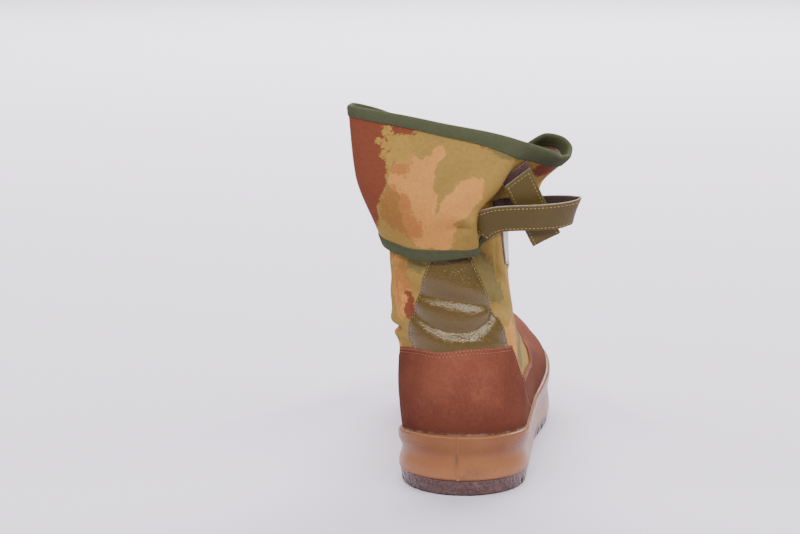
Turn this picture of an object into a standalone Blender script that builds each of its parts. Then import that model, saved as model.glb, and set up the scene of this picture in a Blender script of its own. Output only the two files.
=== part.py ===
"""Military boot for the right foot: a canvas and suede upper on a moulded cup sole, with a slack bound cuff.

Tables are in millimetres and MM turns them to metres. The toe points along +Y, the outer side of the
foot is +X, and the back of the heel is at y = 0 on the floor until the whole boot is centred.
"""

import math
from collections import namedtuple

import bmesh
import bpy
import numpy as np

MM = 0.001

# Round forms of every outline, seen from above
HEEL_ROUND = 43.0
FORE_AT = 0.70
TOE_POWER = 2.2
WIDTH_AT = (0.0, 0.16, 0.42, FORE_AT, 1.0)
HEIGHT_AT = (0.0, 0.22, 0.45, FORE_AT, 1.0)
INFLARE = 8.0
INFLARE_FROM = 110.0
INFLARE_TO = 300.0

# Walls and gaps
WALL = 2.2
GAP = 0.35
OVERLAY = 1.3
CANVAS = 1.8
TAPE = 0.8
TAPE_WIDTH = 7.4
TAPE_GAP = 0.85
TONGUE_WALL = 3.0
STRAP_WALL = 1.6
STRAP_WIDTH = 19.0
FOLD_REACH = 30.0
FOLD_BEND = 9.0
INSOLE_WALL = 3.2
CUP_GAP = 0.45

# Mesh density
RING_COUNT = 56
UPPER_LEVELS = 11
CUFF_COLUMNS = 36
CUFF_LEVELS = 8
CUFF_PACE_AT = (0.0, 0.42, 0.70, 1.0)
CUFF_PACE = (0.0, 0.55, 0.75, 1.0)
STRAP_STATIONS = 9
FOLD_STATIONS = 11

Ring = namedtuple(
    "Ring",
    "level back front z_back z_out z_in z_mid z_fore z_front "
    "lean heel_out heel_in waist_out waist_in fore_out fore_in",
)

# The outer face of the upper, one row for each level from the sole to the collar
UPPER_RINGS = (
    Ring(0.00, 7.0, 285.0, 24.0, 23.0, 23.0, 21.0, 21.0, 31.0, 0.0, 35.0, 35.0, 35.0, 28.0, 46.0, 47.0),
    Ring(0.12, 4.4, 291.5, 39.0, 35.5, 32.5, 33.5, 40.0, 49.0, 0.0, 38.6, 38.6, 39.4, 32.5, 48.6, 50.0),
    Ring(0.30, 2.6, 290.0, 62.0, 58.0, 57.0, 55.0, 51.5, 61.0, -1.0, 38.8, 39.8, 38.5, 33.5, 42.0, 44.0),
    Ring(0.50, 6.0, 272.0, 95.0, 87.0, 86.0, 77.0, 62.0, 71.5, -2.0, 35.9, 37.8, 34.0, 34.0, 32.5, 34.5),
    Ring(0.58, 7.2, 250.0, 102.0, 97.0, 96.0, 87.0, 69.0, 76.0, -2.6, 35.6, 44.2, 32.5, 37.0, 28.8, 30.5),
    Ring(0.75, 9.0, 212.0, 122.0, 119.0, 117.0, 109.0, 86.0, 83.5, -4.4, 36.3, 44.2, 34.5, 40.0, 25.0, 26.5),
    Ring(1.00, 10.5, 160.0, 158.0, 167.0, 163.0, 162.0, 127.0, 99.5, -8.0, 35.0, 43.0, 40.0, 40.5, 25.0, 26.0),
)
LIP_LEVEL = 0.12
RAND_LEVEL = 0.135

SoleStop = namedtuple("SoleStop", "at tread seam")

# The sole seen from the side: floor contact, arch and toe spring
SOLE_STOPS = (
    SoleStop(0.00, 0.0, 10.4),
    SoleStop(0.30, 0.0, 10.2),
    SoleStop(0.39, 4.5, 11.0),
    SoleStop(0.51, 0.0, 9.2),
    SoleStop(0.77, 0.0, 8.8),
    SoleStop(1.00, 13.0, 20.5),
)

SoleEdge = namedtuple("SoleEdge", "back front heel waist_out waist_in fore_out fore_in")

TREAD_EDGE = SoleEdge(1.6, 297.0, 40.2, 40.5, 33.0, 51.0, 52.0)
SEAM_EDGE = SoleEdge(0.4, 299.0, 41.6, 42.0, 34.5, 52.2, 53.2)
CUP_FOOT_EDGE = SoleEdge(0.2, 299.5, 42.2, 42.6, 35.0, 52.6, 53.6)
CUP_HOLLOW_EDGE = SoleEdge(1.8, 298.0, 40.4, 41.4, 34.0, 51.4, 52.4)
CUP_LIP_EDGE = SoleEdge(0.3, 296.6, 42.8, 43.6, 36.6, 52.8, 54.2)

LUG_GROOVES = (27.0, 42.0, 57.0, 72.0, 160.0, 175.0, 190.0, 205.0, 220.0, 235.0, 250.0, 265.0)
GROOVE_WIDTH = 4.2
GROOVE_DEPTH = 5.2
GROOVE_SWEEP = 7.0
HEEL_END = 100.0

Edge = namedtuple("Edge", "level span")

COUNTER_FRONT = (Edge(0.12, 0.396), Edge(0.24, 0.304), Edge(0.35, 0.236), Edge(0.50, 0.198))
COUNTER_TOP_BACK = 0.495
COUNTER_TOP_SIDE = 0.470
COUNTER_GAP = 0.50
PANEL_OUT = (Edge(0.49, 0.182), Edge(0.60, 0.180), Edge(0.74, 0.150), Edge(0.95, 0.098))
PANEL_IN = (Edge(0.49, 0.132), Edge(0.60, 0.158), Edge(0.74, 0.126), Edge(0.95, 0.068))
PANEL_TOP = 0.936
PANEL_CLEAR = 0.006
VAMP_CLEAR = 0.006
VAMP_GAP = 0.90

Crest = namedtuple("Crest", "span level")

VAMP_CREST = (
    Crest(0.27, 0.370),
    Crest(0.42, 0.340),
    Crest(0.465, 0.325),
    Crest(0.52, 0.45),
    Crest(0.60, 0.60),
    Crest(0.70, 0.80),
    Crest(0.80, 1.00),
    Crest(1.00, 1.00),
)
EYESTAY_LATERAL_FROM = 0.375
EYESTAY_MEDIAL_FROM = 0.46
EYESTAY_TO = 0.73
EYESTAY_LOW = 0.905
EYELET_LEVEL = 0.953
EYELET_SPANS = (0.540, 0.585, 0.630, 0.672, 0.712)
EYELET_FLANGE = 4.0
EYELET_LIFT = 1.75
EYELET_BARREL = 2.7
EYELET_BORE = 2.0
EYELET_HOLE = 3.1
EYELET_SIDES = 8

TongueRow = namedtuple("TongueRow", "x y z half crown")

TONGUE_ROWS = (
    TongueRow(-3.5, 176.0, 89.0, 12.0, 3.0),
    TongueRow(-4.0, 152.0, 98.0, 15.0, 4.5),
    TongueRow(-5.5, 126.0, 114.0, 19.0, 6.0),
    TongueRow(-7.0, 103.0, 133.0, 23.0, 7.0),
    TongueRow(-9.0, 86.0, 154.0, 25.0, 7.0),
    TongueRow(-10.0, 74.0, 176.0, 22.0, 6.0),
)

Fold = namedtuple("Fold", "place span stand lift mid_x mid_y mid_z top_x top_y top_z")

# The slack cuff, one row for each fold from the inner front edge round the back to the outer flap
CUFF_LEVEL = 0.954
CUFF_MIDDLE = 0.48
CUFF_FOLDS = (
    Fold(0.00, -0.440, 3.8, 0.0, -46.0, 70.0, 192.0, -16.0, 60.0, 222.0),
    Fold(0.10, -0.415, 3.3, 0.0, -55.0, 57.0, 197.0, -39.0, 46.0, 234.0),
    Fold(0.19, -0.365, 3.2, 0.0, -62.5, 41.0, 202.0, -59.0, 34.0, 242.5),
    Fold(0.25, -0.310, 3.2, 0.0, -66.2, 27.0, 204.0, -69.4, 21.0, 246.0),
    Fold(0.30, -0.255, 3.2, 0.0, -65.8, 13.0, 204.0, -69.6, 9.0, 246.0),
    Fold(0.36, -0.185, 3.2, 0.0, -56.0, 3.0, 201.0, -57.0, 0.0, 244.4),
    Fold(0.44, -0.110, 3.2, 0.0, -36.0, -4.0, 198.0, -36.0, -5.0, 241.6),
    Fold(0.53, -0.045, 3.2, 0.0, -13.0, -7.0, 193.0, -6.0, -8.0, 236.2),
    Fold(0.59, 0.020, 3.2, 0.0, 3.0, -6.0, 187.0, 18.0, -6.5, 231.8),
    Fold(0.63, 0.072, 3.4, 0.0, 8.8, -5.2, 181.0, 31.0, -3.5, 228.4),
    Fold(0.652, 0.106, 4.2, 0.5, 10.0, 0.0, 180.0, 38.0, -1.0, 226.0),
    Fold(0.675, 0.116, 3.4, 6.5, 7.6, 9.0, 181.0, 43.0, 1.6, 224.3),
    Fold(0.70, 0.140, 3.3, 9.5, 11.6, 17.6, 182.5, 47.5, 4.0, 222.6),
    Fold(0.75, 0.210, 3.4, 11.5, 23.0, 29.0, 184.0, 55.5, 8.0, 219.4),
    Fold(0.80, 0.290, 3.6, 12.0, 35.0, 41.0, 187.0, 62.0, 12.5, 215.6),
    Fold(0.84, 0.340, 3.9, 11.5, 41.0, 47.0, 188.0, 66.0, 18.5, 215.4),
    Fold(0.88, 0.385, 4.2, 11.0, 45.0, 53.0, 189.0, 67.0, 26.0, 219.6),
    Fold(0.92, 0.420, 4.6, 10.0, 46.0, 59.0, 190.0, 61.8, 32.0, 225.2),
    Fold(0.96, 0.447, 4.9, 10.5, 44.0, 64.5, 190.0, 52.0, 35.5, 227.0),
    Fold(1.00, 0.470, 5.2, 10.5, 40.6, 69.6, 190.0, 42.0, 38.5, 222.4),
)

StrapStop = namedtuple("StrapStop", "x y z")

# Each strap runs from its sewn root out to the fold and back over itself to the tip
CROSS_STOPS = (
    StrapStop(22.0, 18.8, 179.6),
    StrapStop(28.0, 20.4, 180.8),
    StrapStop(36.0, 21.4, 181.2),
    StrapStop(46.0, 21.0, 182.0),
    StrapStop(58.0, 18.0, 183.2),
    StrapStop(67.0, 13.8, 183.6),
    StrapStop(71.4, 9.4, 183.0),
    StrapStop(67.0, 5.2, 181.4),
    StrapStop(58.0, 0.8, 180.4),
    StrapStop(46.0, -2.0, 179.8),
    StrapStop(34.0, -2.8, 179.4),
    StrapStop(25.0, -2.6, 178.6),
    StrapStop(19.5, -2.0, 176.8),
    StrapStop(16.2, -1.0, 174.8),
)
CROSS_WIDTHWAYS = (-0.10, -0.46, 0.88)
CROSS_SKEW = (0.0, 0.0, 4.0)
UP_STOPS = (
    StrapStop(33.2, 4.0, 206.6),
    StrapStop(36.4, 6.8, 200.0),
    StrapStop(40.4, 9.0, 191.2),
    StrapStop(45.2, 10.8, 181.5),
    StrapStop(50.2, 11.8, 170.6),
    StrapStop(53.4, 9.9, 164.8),
    StrapStop(51.0, 7.8, 169.6),
    StrapStop(45.8, 5.7, 181.0),
    StrapStop(40.3, 3.2, 193.0),
    StrapStop(35.2, -0.2, 204.4),
)
UP_WIDTHWAYS = (0.86, 0.10, 0.44)
UP_SKEW = (-2.0, 2.0, 0.0)

Finish = namedtuple("Finish", "color roughness")

FINISHES = {
    "outsole": Finish((0.035, 0.028, 0.026), 0.55),
    "midsole": Finish((0.42, 0.19, 0.06), 0.35),
    "insole": Finish((0.30, 0.24, 0.18), 0.90),
    "canvas": Finish((0.36, 0.22, 0.09), 0.85),
    "suede": Finish((0.22, 0.09, 0.04), 0.90),
    "leatherette": Finish((0.11, 0.09, 0.05), 0.35),
    "tape": Finish((0.13, 0.13, 0.09), 0.80),
    "eyelet": Finish((0.22, 0.06, 0.04), 0.45),
}


def smooth(stops, values, at):
    """A cubic through the stops that never overshoots them; values may hold a column for each place read."""
    stops = np.asarray(stops, float)
    at = np.atleast_1d(np.clip(at, stops[0], stops[-1]))
    values = np.asarray(values, float)
    if values.ndim == 1:
        values = np.repeat(values[:, None], len(at), axis=1)
    steps = np.diff(stops)[:, None]
    slopes = np.diff(values, axis=0) / steps
    product = slopes[:-1] * slopes[1:]
    alike = product > 0.0
    total = np.where(alike, slopes[:-1] + slopes[1:], 1.0)
    inner = np.where(alike, 2.0 * product / total, 0.0)
    tangents = np.concatenate([slopes[:1], inner, slopes[-1:]])
    low = np.clip(np.searchsorted(stops, at, side="right") - 1, 0, len(stops) - 2)
    column = np.arange(len(at))
    step = steps[low, 0]
    u = (at - stops[low]) / step
    start = values[low, column]
    end = values[low + 1, column]
    rise = tangents[low, column] * step
    fall = tangents[low + 1, column] * step
    return (
        start * (2 * u**3 - 3 * u**2 + 1)
        + rise * (u**3 - 2 * u**2 + u)
        + end * (3 * u**2 - 2 * u**3)
        + fall * (u**3 - u**2)
    )


def unit(vectors):
    return vectors / np.linalg.norm(vectors, axis=-1, keepdims=True)


def inflare(y):
    """How far the middle line of the foot bends to the inner side."""
    u = np.clip((y - INFLARE_FROM) / (INFLARE_TO - INFLARE_FROM), 0.0, 1.0)
    return -INFLARE * u * u * (3.0 - 2.0 * u)


def station(span):
    """Place along the foot, 0 at the heel and 1 at the toe, for a span of -1 to 1 round the ring."""
    return 0.5 - 0.5 * np.cos(np.pi * span)


def outline(span, back, front, heel, waist, fore):
    """(x, y) of a foot-shaped ring; heel, waist and fore hold an outer and an inner half width."""
    span = np.atleast_1d(span)
    side = np.where(span >= 0.0, 1.0, -1.0)
    at = station(span)
    length = front - back
    y = back + at * length
    heel, waist, fore = (np.where(side > 0, out, inn) + 0.0 * at for out, inn in (heel, waist, fore))
    half = smooth(WIDTH_AT, np.stack([heel, heel, waist, fore, fore]), at)
    behind = np.clip(1.0 - at * length / HEEL_ROUND, 0.0, 1.0)
    ahead = np.clip((at - FORE_AT) / (1.0 - FORE_AT), 0.0, 1.0)
    half = half * np.sqrt(1.0 - behind**2) * (1.0 - ahead**TOE_POWER) ** (1.0 / TOE_POWER)
    return inflare(y) + side * half, y


def upper_surface(span, level):
    """Points on the outer face of the upper."""
    span = (np.atleast_1d(span) + 1.0) % 2.0 - 1.0
    level = np.clip(np.atleast_1d(level) + 0.0 * span, 0.0, 1.0)
    levels = [ring.level for ring in UPPER_RINGS]
    row = Ring(*(smooth(levels, column, level) for column in zip(*UPPER_RINGS)))
    at = station(span)
    x, y = outline(
        span,
        row.back,
        row.front,
        (row.heel_out, row.heel_in),
        (row.waist_out, row.waist_in),
        (row.fore_out, row.fore_in),
    )
    side = np.where(span >= 0.0, row.z_out, row.z_in)
    z = smooth(HEIGHT_AT, np.stack([row.z_back, side, row.z_mid, row.z_fore, row.z_front]), at)
    return np.stack([x + row.lean * (1.0 - at**2), y, z], axis=-1)


def upper_skin(span, level, offset):
    """Points at a distance outside the upper, or inside it where the distance is negative."""
    span = np.atleast_1d(span) + 0.0
    level = np.atleast_1d(level) + 0.0 * span
    near = 0.003
    across = upper_surface(span + near, level) - upper_surface(span - near, level)
    upward = upper_surface(span, level + near) - upper_surface(span, level - near)
    normal = unit(np.cross(across, upward))
    return upper_surface(span, level) + normal * np.asarray(offset)


def sole_ring(span, edge, height):
    x, y = outline(
        span,
        edge.back,
        edge.front,
        (edge.heel, edge.heel),
        (edge.waist_out, edge.waist_in),
        (edge.fore_out, edge.fore_in),
    )
    return np.stack([x, y, height], axis=-1)


def sole_height(span, column):
    stops = [stop.at for stop in SOLE_STOPS]
    return smooth(stops, [getattr(stop, column) for stop in SOLE_STOPS], station(span))


def material_for(name):
    if name in bpy.data.materials:
        return bpy.data.materials[name]
    finish = FINISHES[name]
    material = bpy.data.materials.new(name)
    material.use_nodes = True
    shader = material.node_tree.nodes["Principled BSDF"]
    shader.inputs["Base Color"].default_value = (*finish.color, 1.0)
    shader.inputs["Roughness"].default_value = finish.roughness
    shader.inputs["Metallic"].default_value = 0.0
    return material


def add_solid(name, points, faces, finish):
    """One closed object from points in millimetres, with its faces turned outward."""
    mesh = bpy.data.meshes.new(name)
    mesh.from_pydata((np.asarray(points) * MM).tolist(), [], faces)
    shape = bmesh.new()
    shape.from_mesh(mesh)
    bmesh.ops.remove_doubles(shape, verts=shape.verts, dist=1e-7)
    bmesh.ops.recalc_face_normals(shape, faces=shape.faces)
    if shape.calc_volume(signed=True) < 0.0:
        bmesh.ops.reverse_faces(shape, faces=shape.faces)
    shape.to_mesh(mesh)
    shape.free()
    mesh.materials.append(material_for(finish))
    thing = bpy.data.objects.new(name, mesh)
    bpy.context.scene.collection.objects.link(thing)
    return thing


def bridge(count, first, second):
    """Triangles between two rings of the same count."""
    faces = []
    for i in range(count):
        after = (i + 1) % count
        faces.append((first + i, first + after, second + after))
        faces.append((first + i, second + after, second + i))
    return faces


def ladder(count, first):
    """Faces that close a foot-shaped ring, rung by rung from the toe to the heel."""
    faces = [(first, first + 1, first + count - 1)]
    for i in range(1, count // 2 - 1):
        faces.append((first + i, first + i + 1, first + count - i - 1, first + count - i))
    middle = count // 2
    faces.append((first + middle - 1, first + middle, first + middle + 1))
    return faces


def ring_solid(name, rings, finish, looped=False):
    """A solid through rings; looped joins the last ring to the first, otherwise both ends are closed."""
    count = len(rings[0])
    faces = []
    for i in range(len(rings) - 1):
        faces += bridge(count, i * count, (i + 1) * count)
    if looped:
        faces += bridge(count, (len(rings) - 1) * count, 0)
    else:
        faces += ladder(count, 0)
        faces += ladder(count, (len(rings) - 1) * count)
    return add_solid(name, np.concatenate(rings), faces, finish)


def sheet_solid(name, outer, inner, finish):
    """A solid between two grids of the same shape."""
    rows, columns = outer.shape[:2]
    points = np.concatenate([outer.reshape(-1, 3), inner.reshape(-1, 3)])
    below = rows * columns
    faces = []
    for i in range(rows - 1):
        for j in range(columns - 1):
            a = i * columns + j
            for cell in ((a, a + 1, a + columns + 1), (a, a + columns + 1, a + columns)):
                faces.append(cell)
                faces.append(tuple(below + k for k in reversed(cell)))
    rim = [j for j in range(columns)]
    rim += [i * columns + columns - 1 for i in range(1, rows)]
    rim += [(rows - 1) * columns + j for j in range(columns - 2, -1, -1)]
    rim += [i * columns for i in range(rows - 2, 0, -1)]
    for k, a in enumerate(rim):
        b = rim[(k + 1) % len(rim)]
        faces.append((a, b, below + b, below + a))
    return add_solid(name, points, faces, finish)


def lines_over(first, last):
    """Grid of the upper's own facet lines from one span to another, for a piece that lies on them."""
    step = 2.0 / RING_COUNT
    spans = np.arange(math.floor(first / step), math.ceil(last / step) + 1) * step
    return np.meshgrid(spans, np.linspace(0.0, 1.0, UPPER_LEVELS), indexing="ij")


def read_rows(rows, at):
    """Second column of a two-column table, read at the first."""
    stops, values = zip(*rows)
    return smooth(stops, values, at.ravel()).reshape(at.shape)


def facet_skin(span, level, offset):
    """Points at a distance outside the flat facets of the upper."""
    step = 2.0 / RING_COUNT
    along = span.ravel() / step
    up = np.clip(level.ravel() * (UPPER_LEVELS - 1), 0.0, UPPER_LEVELS - 1.0)
    left = np.floor(along + 1e-9)
    low = np.minimum(np.floor(up + 1e-9), UPPER_LEVELS - 2.0)
    total = np.zeros((len(along), 3))
    right = along - left
    rise = up - low
    shares = {
        (0.0, 0.0): 1.0 - np.maximum(right, rise),
        (1.0, 0.0): np.maximum(right - rise, 0.0),
        (0.0, 1.0): np.maximum(rise - right, 0.0),
        (1.0, 1.0): np.minimum(right, rise),
    }
    for (i, j), share in shares.items():
        corner = upper_skin((left + i) * step, (low + j) / (UPPER_LEVELS - 1), offset)
        total += share[:, None] * corner
    return total.reshape(*span.shape, 3)


def overlay(name, span, level, finish, gap=GAP):
    """A piece lying on the upper over a grid of spans and levels."""
    return sheet_solid(name, facet_skin(span, level, gap + OVERLAY), facet_skin(span, level, gap), finish)


def ring_spans():
    return np.arange(RING_COUNT) * 2.0 / RING_COUNT - 1.0


def cut(thing, cutter):
    cutter.hide_render = True
    cutter.display_type = "WIRE"
    modifier = thing.modifiers.new(cutter.name, "BOOLEAN")
    modifier.operation = "DIFFERENCE"
    modifier.solver = "EXACT"
    modifier.use_self = True
    modifier.object = cutter


def build_outsole():
    """Tread with chevron bars, flat under heel and ball."""
    spans = ring_spans()
    tread = sole_ring(spans, TREAD_EDGE, sole_height(spans, "tread"))
    seam = sole_ring(spans, SEAM_EDGE, sole_height(spans, "seam") - GAP)
    sole = ring_solid("outsole", [tread, seam], "outsole")
    points = []
    faces = []
    reach = SEAM_EDGE.fore_in + 10.0
    for middle in LUG_GROOVES:
        sweep = GROOVE_SWEEP if middle < HEEL_END else -GROOVE_SWEEP
        along = (middle - TREAD_EDGE.back) / (TREAD_EDGE.front - TREAD_EDGE.back)
        stops = [stop.at for stop in SOLE_STOPS]
        floor = smooth(stops, [stop.tread for stop in SOLE_STOPS], along)[0]
        first = len(points)
        for z in (floor - 12.0, floor + GROOVE_DEPTH):
            for x, back in ((-reach, sweep), (0.0, 0.0), (reach, sweep)):
                points.append((x, middle + back - GROOVE_WIDTH / 2, z))
            for x, back in ((reach, sweep), (0.0, 0.0), (-reach, sweep)):
                points.append((x, middle + back + GROOVE_WIDTH / 2, z))
        faces += bridge(6, first, first + 6)
        for base in (first, first + 6):
            faces.append((base, base + 1, base + 4, base + 5))
            faces.append((base + 1, base + 2, base + 3, base + 4))
    cut(sole, add_solid("lug_grooves", points, faces, "outsole"))


def build_midsole():
    """Cup with a hollow side wall, standing on the tread and holding the foot of the upper."""
    spans = ring_spans()
    seam = sole_height(spans, "seam")
    lip = upper_skin(spans, LIP_LEVEL, CUP_GAP)
    top = lip[:, 2]
    rings = [
        sole_ring(spans, CUP_FOOT_EDGE, seam),
        sole_ring(spans, CUP_FOOT_EDGE, seam + 3.0),
        sole_ring(spans, CUP_HOLLOW_EDGE, seam * 0.5 + top * 0.5),
        sole_ring(spans, CUP_LIP_EDGE, top - 4.0),
        sole_ring(spans, CUP_LIP_EDGE, top - 0.8),
        lip,
    ]
    rings += [upper_skin(spans, level, CUP_GAP) for level in (0.1, 0.0)]
    floor = rings[-1].copy()
    floor[:, 2] -= GAP
    rings.append(floor)
    ring_solid("midsole", rings, "midsole")


def build_insole():
    spans = ring_spans()
    low = upper_skin(spans, 0.0, -WALL - GAP)
    low[:, 2] = upper_surface(spans, 0.0)[:, 2]
    high = low.copy()
    high[:, 2] += INSOLE_WALL
    ring_solid("insole", [low, high], "insole")


def build_upper(holes):
    """Hollow upper, open underneath, at the collar and along the throat."""
    spans = ring_spans()
    levels = np.linspace(0.0, 1.0, UPPER_LEVELS)
    outer = [upper_skin(spans, level, 0.0) for level in levels]
    inner = [upper_skin(spans, level, -WALL) for level in levels[::-1]]
    cut(ring_solid("upper", outer + inner, "canvas", looped=True), holes)


def build_counter():
    widest = COUNTER_FRONT[0].span
    span, level = lines_over(-widest, widest)
    top = COUNTER_TOP_BACK + (COUNTER_TOP_SIDE - COUNTER_TOP_BACK) * (span / widest) ** 2
    level = np.clip(level, RAND_LEVEL, top)
    front = read_rows(COUNTER_FRONT, level)
    overlay("heel_counter", np.clip(span, -front, front), level, "suede", COUNTER_GAP)


def build_back_panel():
    span, level = lines_over(-max(edge.span for edge in PANEL_IN), max(edge.span for edge in PANEL_OUT))
    level = np.clip(level, COUNTER_TOP_BACK + PANEL_CLEAR, PANEL_TOP)
    span = np.clip(span, -read_rows(PANEL_IN, level), read_rows(PANEL_OUT, level))
    overlay("back_panel", span, level, "leatherette")


def build_vamp():
    """Suede round the toe, with a low band along each side back to the counter."""
    span, level = lines_over(COUNTER_FRONT[-1].span, 2.0 - COUNTER_FRONT[-1].span)
    level = np.clip(level, RAND_LEVEL, read_rows(VAMP_CREST, 1.0 - np.abs(span - 1.0)))
    back = read_rows(COUNTER_FRONT, level) + VAMP_CLEAR
    overlay("vamp", np.clip(span, back, 2.0 - back), level, "suede", VAMP_GAP)


def build_eyestay(name, first, last, holes):
    span, level = (grid[:, -2:] for grid in lines_over(first, last))
    cut(overlay(name, np.clip(span, first, last), np.clip(level, EYESTAY_LOW, 1.0), "leatherette"), holes)


def eyelet_frames():
    """Centre and axes of each eyelet, outer side first."""
    frames = []
    for side in (1.0, -1.0):
        for span in EYELET_SPANS:
            low = upper_skin(side * span, EYELET_LEVEL, 0.0)[0]
            high = upper_skin(side * span, EYELET_LEVEL, 1.0)[0]
            axis = unit(high - low)
            along = unit(np.cross(axis, (0.0, 0.0, 1.0)))
            frames.append((side, low, axis, along, np.cross(axis, along)))
    return frames


def turned(frame, profile, looped):
    """Points and faces of a round form; profile holds (radius, height) pairs."""
    _, centre, axis, along, over = frame
    rings = []
    for radius, height in profile:
        turns = np.arange(EYELET_SIDES) * 2.0 * math.pi / EYELET_SIDES
        circle = np.cos(turns)[:, None] * along + np.sin(turns)[:, None] * over
        rings.append(centre + axis * height + circle * radius)
    faces = []
    for i in range(len(profile) - 1):
        faces += bridge(EYELET_SIDES, i * EYELET_SIDES, (i + 1) * EYELET_SIDES)
    last = (len(profile) - 1) * EYELET_SIDES
    if looped:
        faces += bridge(EYELET_SIDES, last, 0)
    else:
        faces.append(tuple(range(EYELET_SIDES)))
        faces.append(tuple(range(last, last + EYELET_SIDES)))
    return np.concatenate(rings), faces


def build_eyelets():
    """Returns the cutter for the holes, after making a flanged eyelet for each."""
    skin = GAP + OVERLAY + EYELET_LIFT
    profile = (
        (EYELET_BORE, -WALL - 0.6),
        (EYELET_BARREL, -WALL - 0.6),
        (EYELET_BARREL, skin),
        (EYELET_FLANGE, skin),
        (EYELET_FLANGE - 0.5, skin + 0.9),
        (EYELET_BORE, skin + 0.9),
    )
    points = []
    faces = []
    for i, frame in enumerate(eyelet_frames()):
        side = "lateral" if frame[0] > 0 else "medial"
        number = i % len(EYELET_SPANS) + 1
        add_solid(f"eyelet_{side}_{number}", *turned(frame, profile, True), "eyelet")
        hole, hole_faces = turned(frame, ((EYELET_HOLE, -WALL - 3.0), (EYELET_HOLE, skin + 2.0)), False)
        first = sum(len(group) for group in points)
        points.append(hole)
        faces += [tuple(first + k for k in face) for face in hole_faces]
    return add_solid("eyelet_holes", np.concatenate(points), faces, "eyelet")


def build_tongue():
    places = np.linspace(0.0, 1.0, 12)
    stops = np.linspace(0.0, 1.0, len(TONGUE_ROWS))
    row = TongueRow(*(smooth(stops, column, places) for column in zip(*TONGUE_ROWS)))
    across = np.linspace(-1.0, 1.0, 9)
    grid = np.empty((len(places), len(across), 3))
    grid[:, :, 0] = row.x[:, None] + row.half[:, None] * across
    grid[:, :, 1] = row.y[:, None]
    grid[:, :, 2] = row.z[:, None] - row.crown[:, None] * across**2
    along = np.gradient(grid, axis=0)
    over = np.gradient(grid, axis=1)
    normal = unit(np.cross(over, along))
    sheet_solid("tongue", grid + normal * TONGUE_WALL / 2, grid - normal * TONGUE_WALL / 2, "canvas")


def cuff_surface(place, rise):
    """Points on the middle of the cuff sheet; place runs round it and rise from the seam to the top."""
    place = np.atleast_1d(place) + 0.0
    rise = np.clip(np.atleast_1d(rise) + 0.0 * place, 0.0, 1.0)
    row = Fold(*(smooth([fold.place for fold in CUFF_FOLDS], column, place) for column in zip(*CUFF_FOLDS)))
    low = upper_skin(row.span, CUFF_LEVEL, row.stand[:, None])
    low[:, 2] += row.lift
    middle = np.stack([row.mid_x, row.mid_y, row.mid_z], axis=-1)
    top = np.stack([row.top_x, row.top_y, row.top_z], axis=-1)
    levels = (0.0, CUFF_MIDDLE, 1.0)
    return np.stack([smooth(levels, np.stack([low[:, k], middle[:, k], top[:, k]]), rise) for k in range(3)], axis=-1)


def cuff_skin(place, rise, offset):
    place = np.atleast_1d(place) + 0.0
    rise = np.atleast_1d(rise) + 0.0 * place
    near = 0.004
    right = np.clip(place + near, 0.0, 1.0)
    left = np.clip(place - near, 0.0, 1.0)
    across = cuff_surface(right, rise) - cuff_surface(left, rise)
    upward = cuff_surface(place, rise + near) - cuff_surface(place, rise - near)
    normal = unit(np.cross(across, upward))
    return cuff_surface(place, rise) + normal * offset


def cuff_lines():
    """Grids of place and rise; the outermost lines lie one tape width inside the edge."""
    places = np.linspace(0.0, 1.0, 200)
    sheet = np.array([cuff_surface(places, rise) for rise in np.linspace(0.0, 1.0, 40)])
    length = np.linalg.norm(np.diff(sheet[20], axis=0), axis=-1).sum()
    inset = TAPE_WIDTH / length
    paced = smooth(CUFF_PACE_AT, CUFF_PACE, np.linspace(0.0, 1.0, CUFF_COLUMNS - 2))
    columns = np.concatenate([[0.0], inset + (1.0 - 2.0 * inset) * paced, [1.0]])
    heights = np.linalg.norm(np.diff(sheet, axis=0), axis=-1).sum(axis=0)
    inset = TAPE_WIDTH / np.interp(columns, places, heights)
    inner = inset[:, None] + (1.0 - 2.0 * inset[:, None]) * np.linspace(0.0, 1.0, CUFF_LEVELS - 2)
    rise = np.concatenate([np.zeros((CUFF_COLUMNS, 1)), inner, np.ones((CUFF_COLUMNS, 1))], axis=1)
    return np.repeat(columns[:, None], CUFF_LEVELS, axis=1), rise


def build_cuff():
    place, rise = cuff_lines()
    outer = cuff_skin(place.ravel(), rise.ravel(), CANVAS / 2).reshape(*place.shape, 3)
    inner = cuff_skin(place.ravel(), rise.ravel(), -CANVAS / 2).reshape(*place.shape, 3)
    sheet_solid("cuff", outer, inner, "canvas")


def cuff_rim():
    """Grid places round the edge of the cuff, and the places one line inside them."""
    last = CUFF_COLUMNS - 1
    top = CUFF_LEVELS - 1
    rim = [(i, top) for i in range(last + 1)]
    rim += [(last, j) for j in range(top - 1, 0, -1)]
    rim += [(i, 0) for i in range(last, -1, -1)]
    rim += [(0, j) for j in range(1, top)]
    inside = [(min(max(i, 1), last - 1), min(max(j, 1), top - 1)) for i, j in rim]
    return np.array(rim).T, np.array(inside).T


def build_binding():
    """Folded tape over the edge of the cuff, one closed loop."""
    places, rises = cuff_lines()
    rim, inside = (tuple(index) for index in cuff_rim())
    place, rise = places[rim], rises[rim]
    place_in, rise_in = places[inside], rises[inside]
    near = CANVAS / 2 + TAPE_GAP
    far = near + TAPE
    edge = cuff_surface(place, rise)
    outward = unit(edge - cuff_surface(place_in, rise_in))
    rings = [
        cuff_skin(place_in, rise_in, far),
        cuff_skin(place, rise, far) + outward * (TAPE_GAP + TAPE),
        cuff_skin(place, rise, -far) + outward * (TAPE_GAP + TAPE),
        cuff_skin(place_in, rise_in, -far),
        cuff_skin(place_in, rise_in, -near),
        cuff_skin(place, rise, -near) + outward * TAPE_GAP,
        cuff_skin(place, rise, near) + outward * TAPE_GAP,
        cuff_skin(place_in, rise_in, near),
    ]
    ring_solid("binding", rings, "tape", looped=True)


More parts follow.
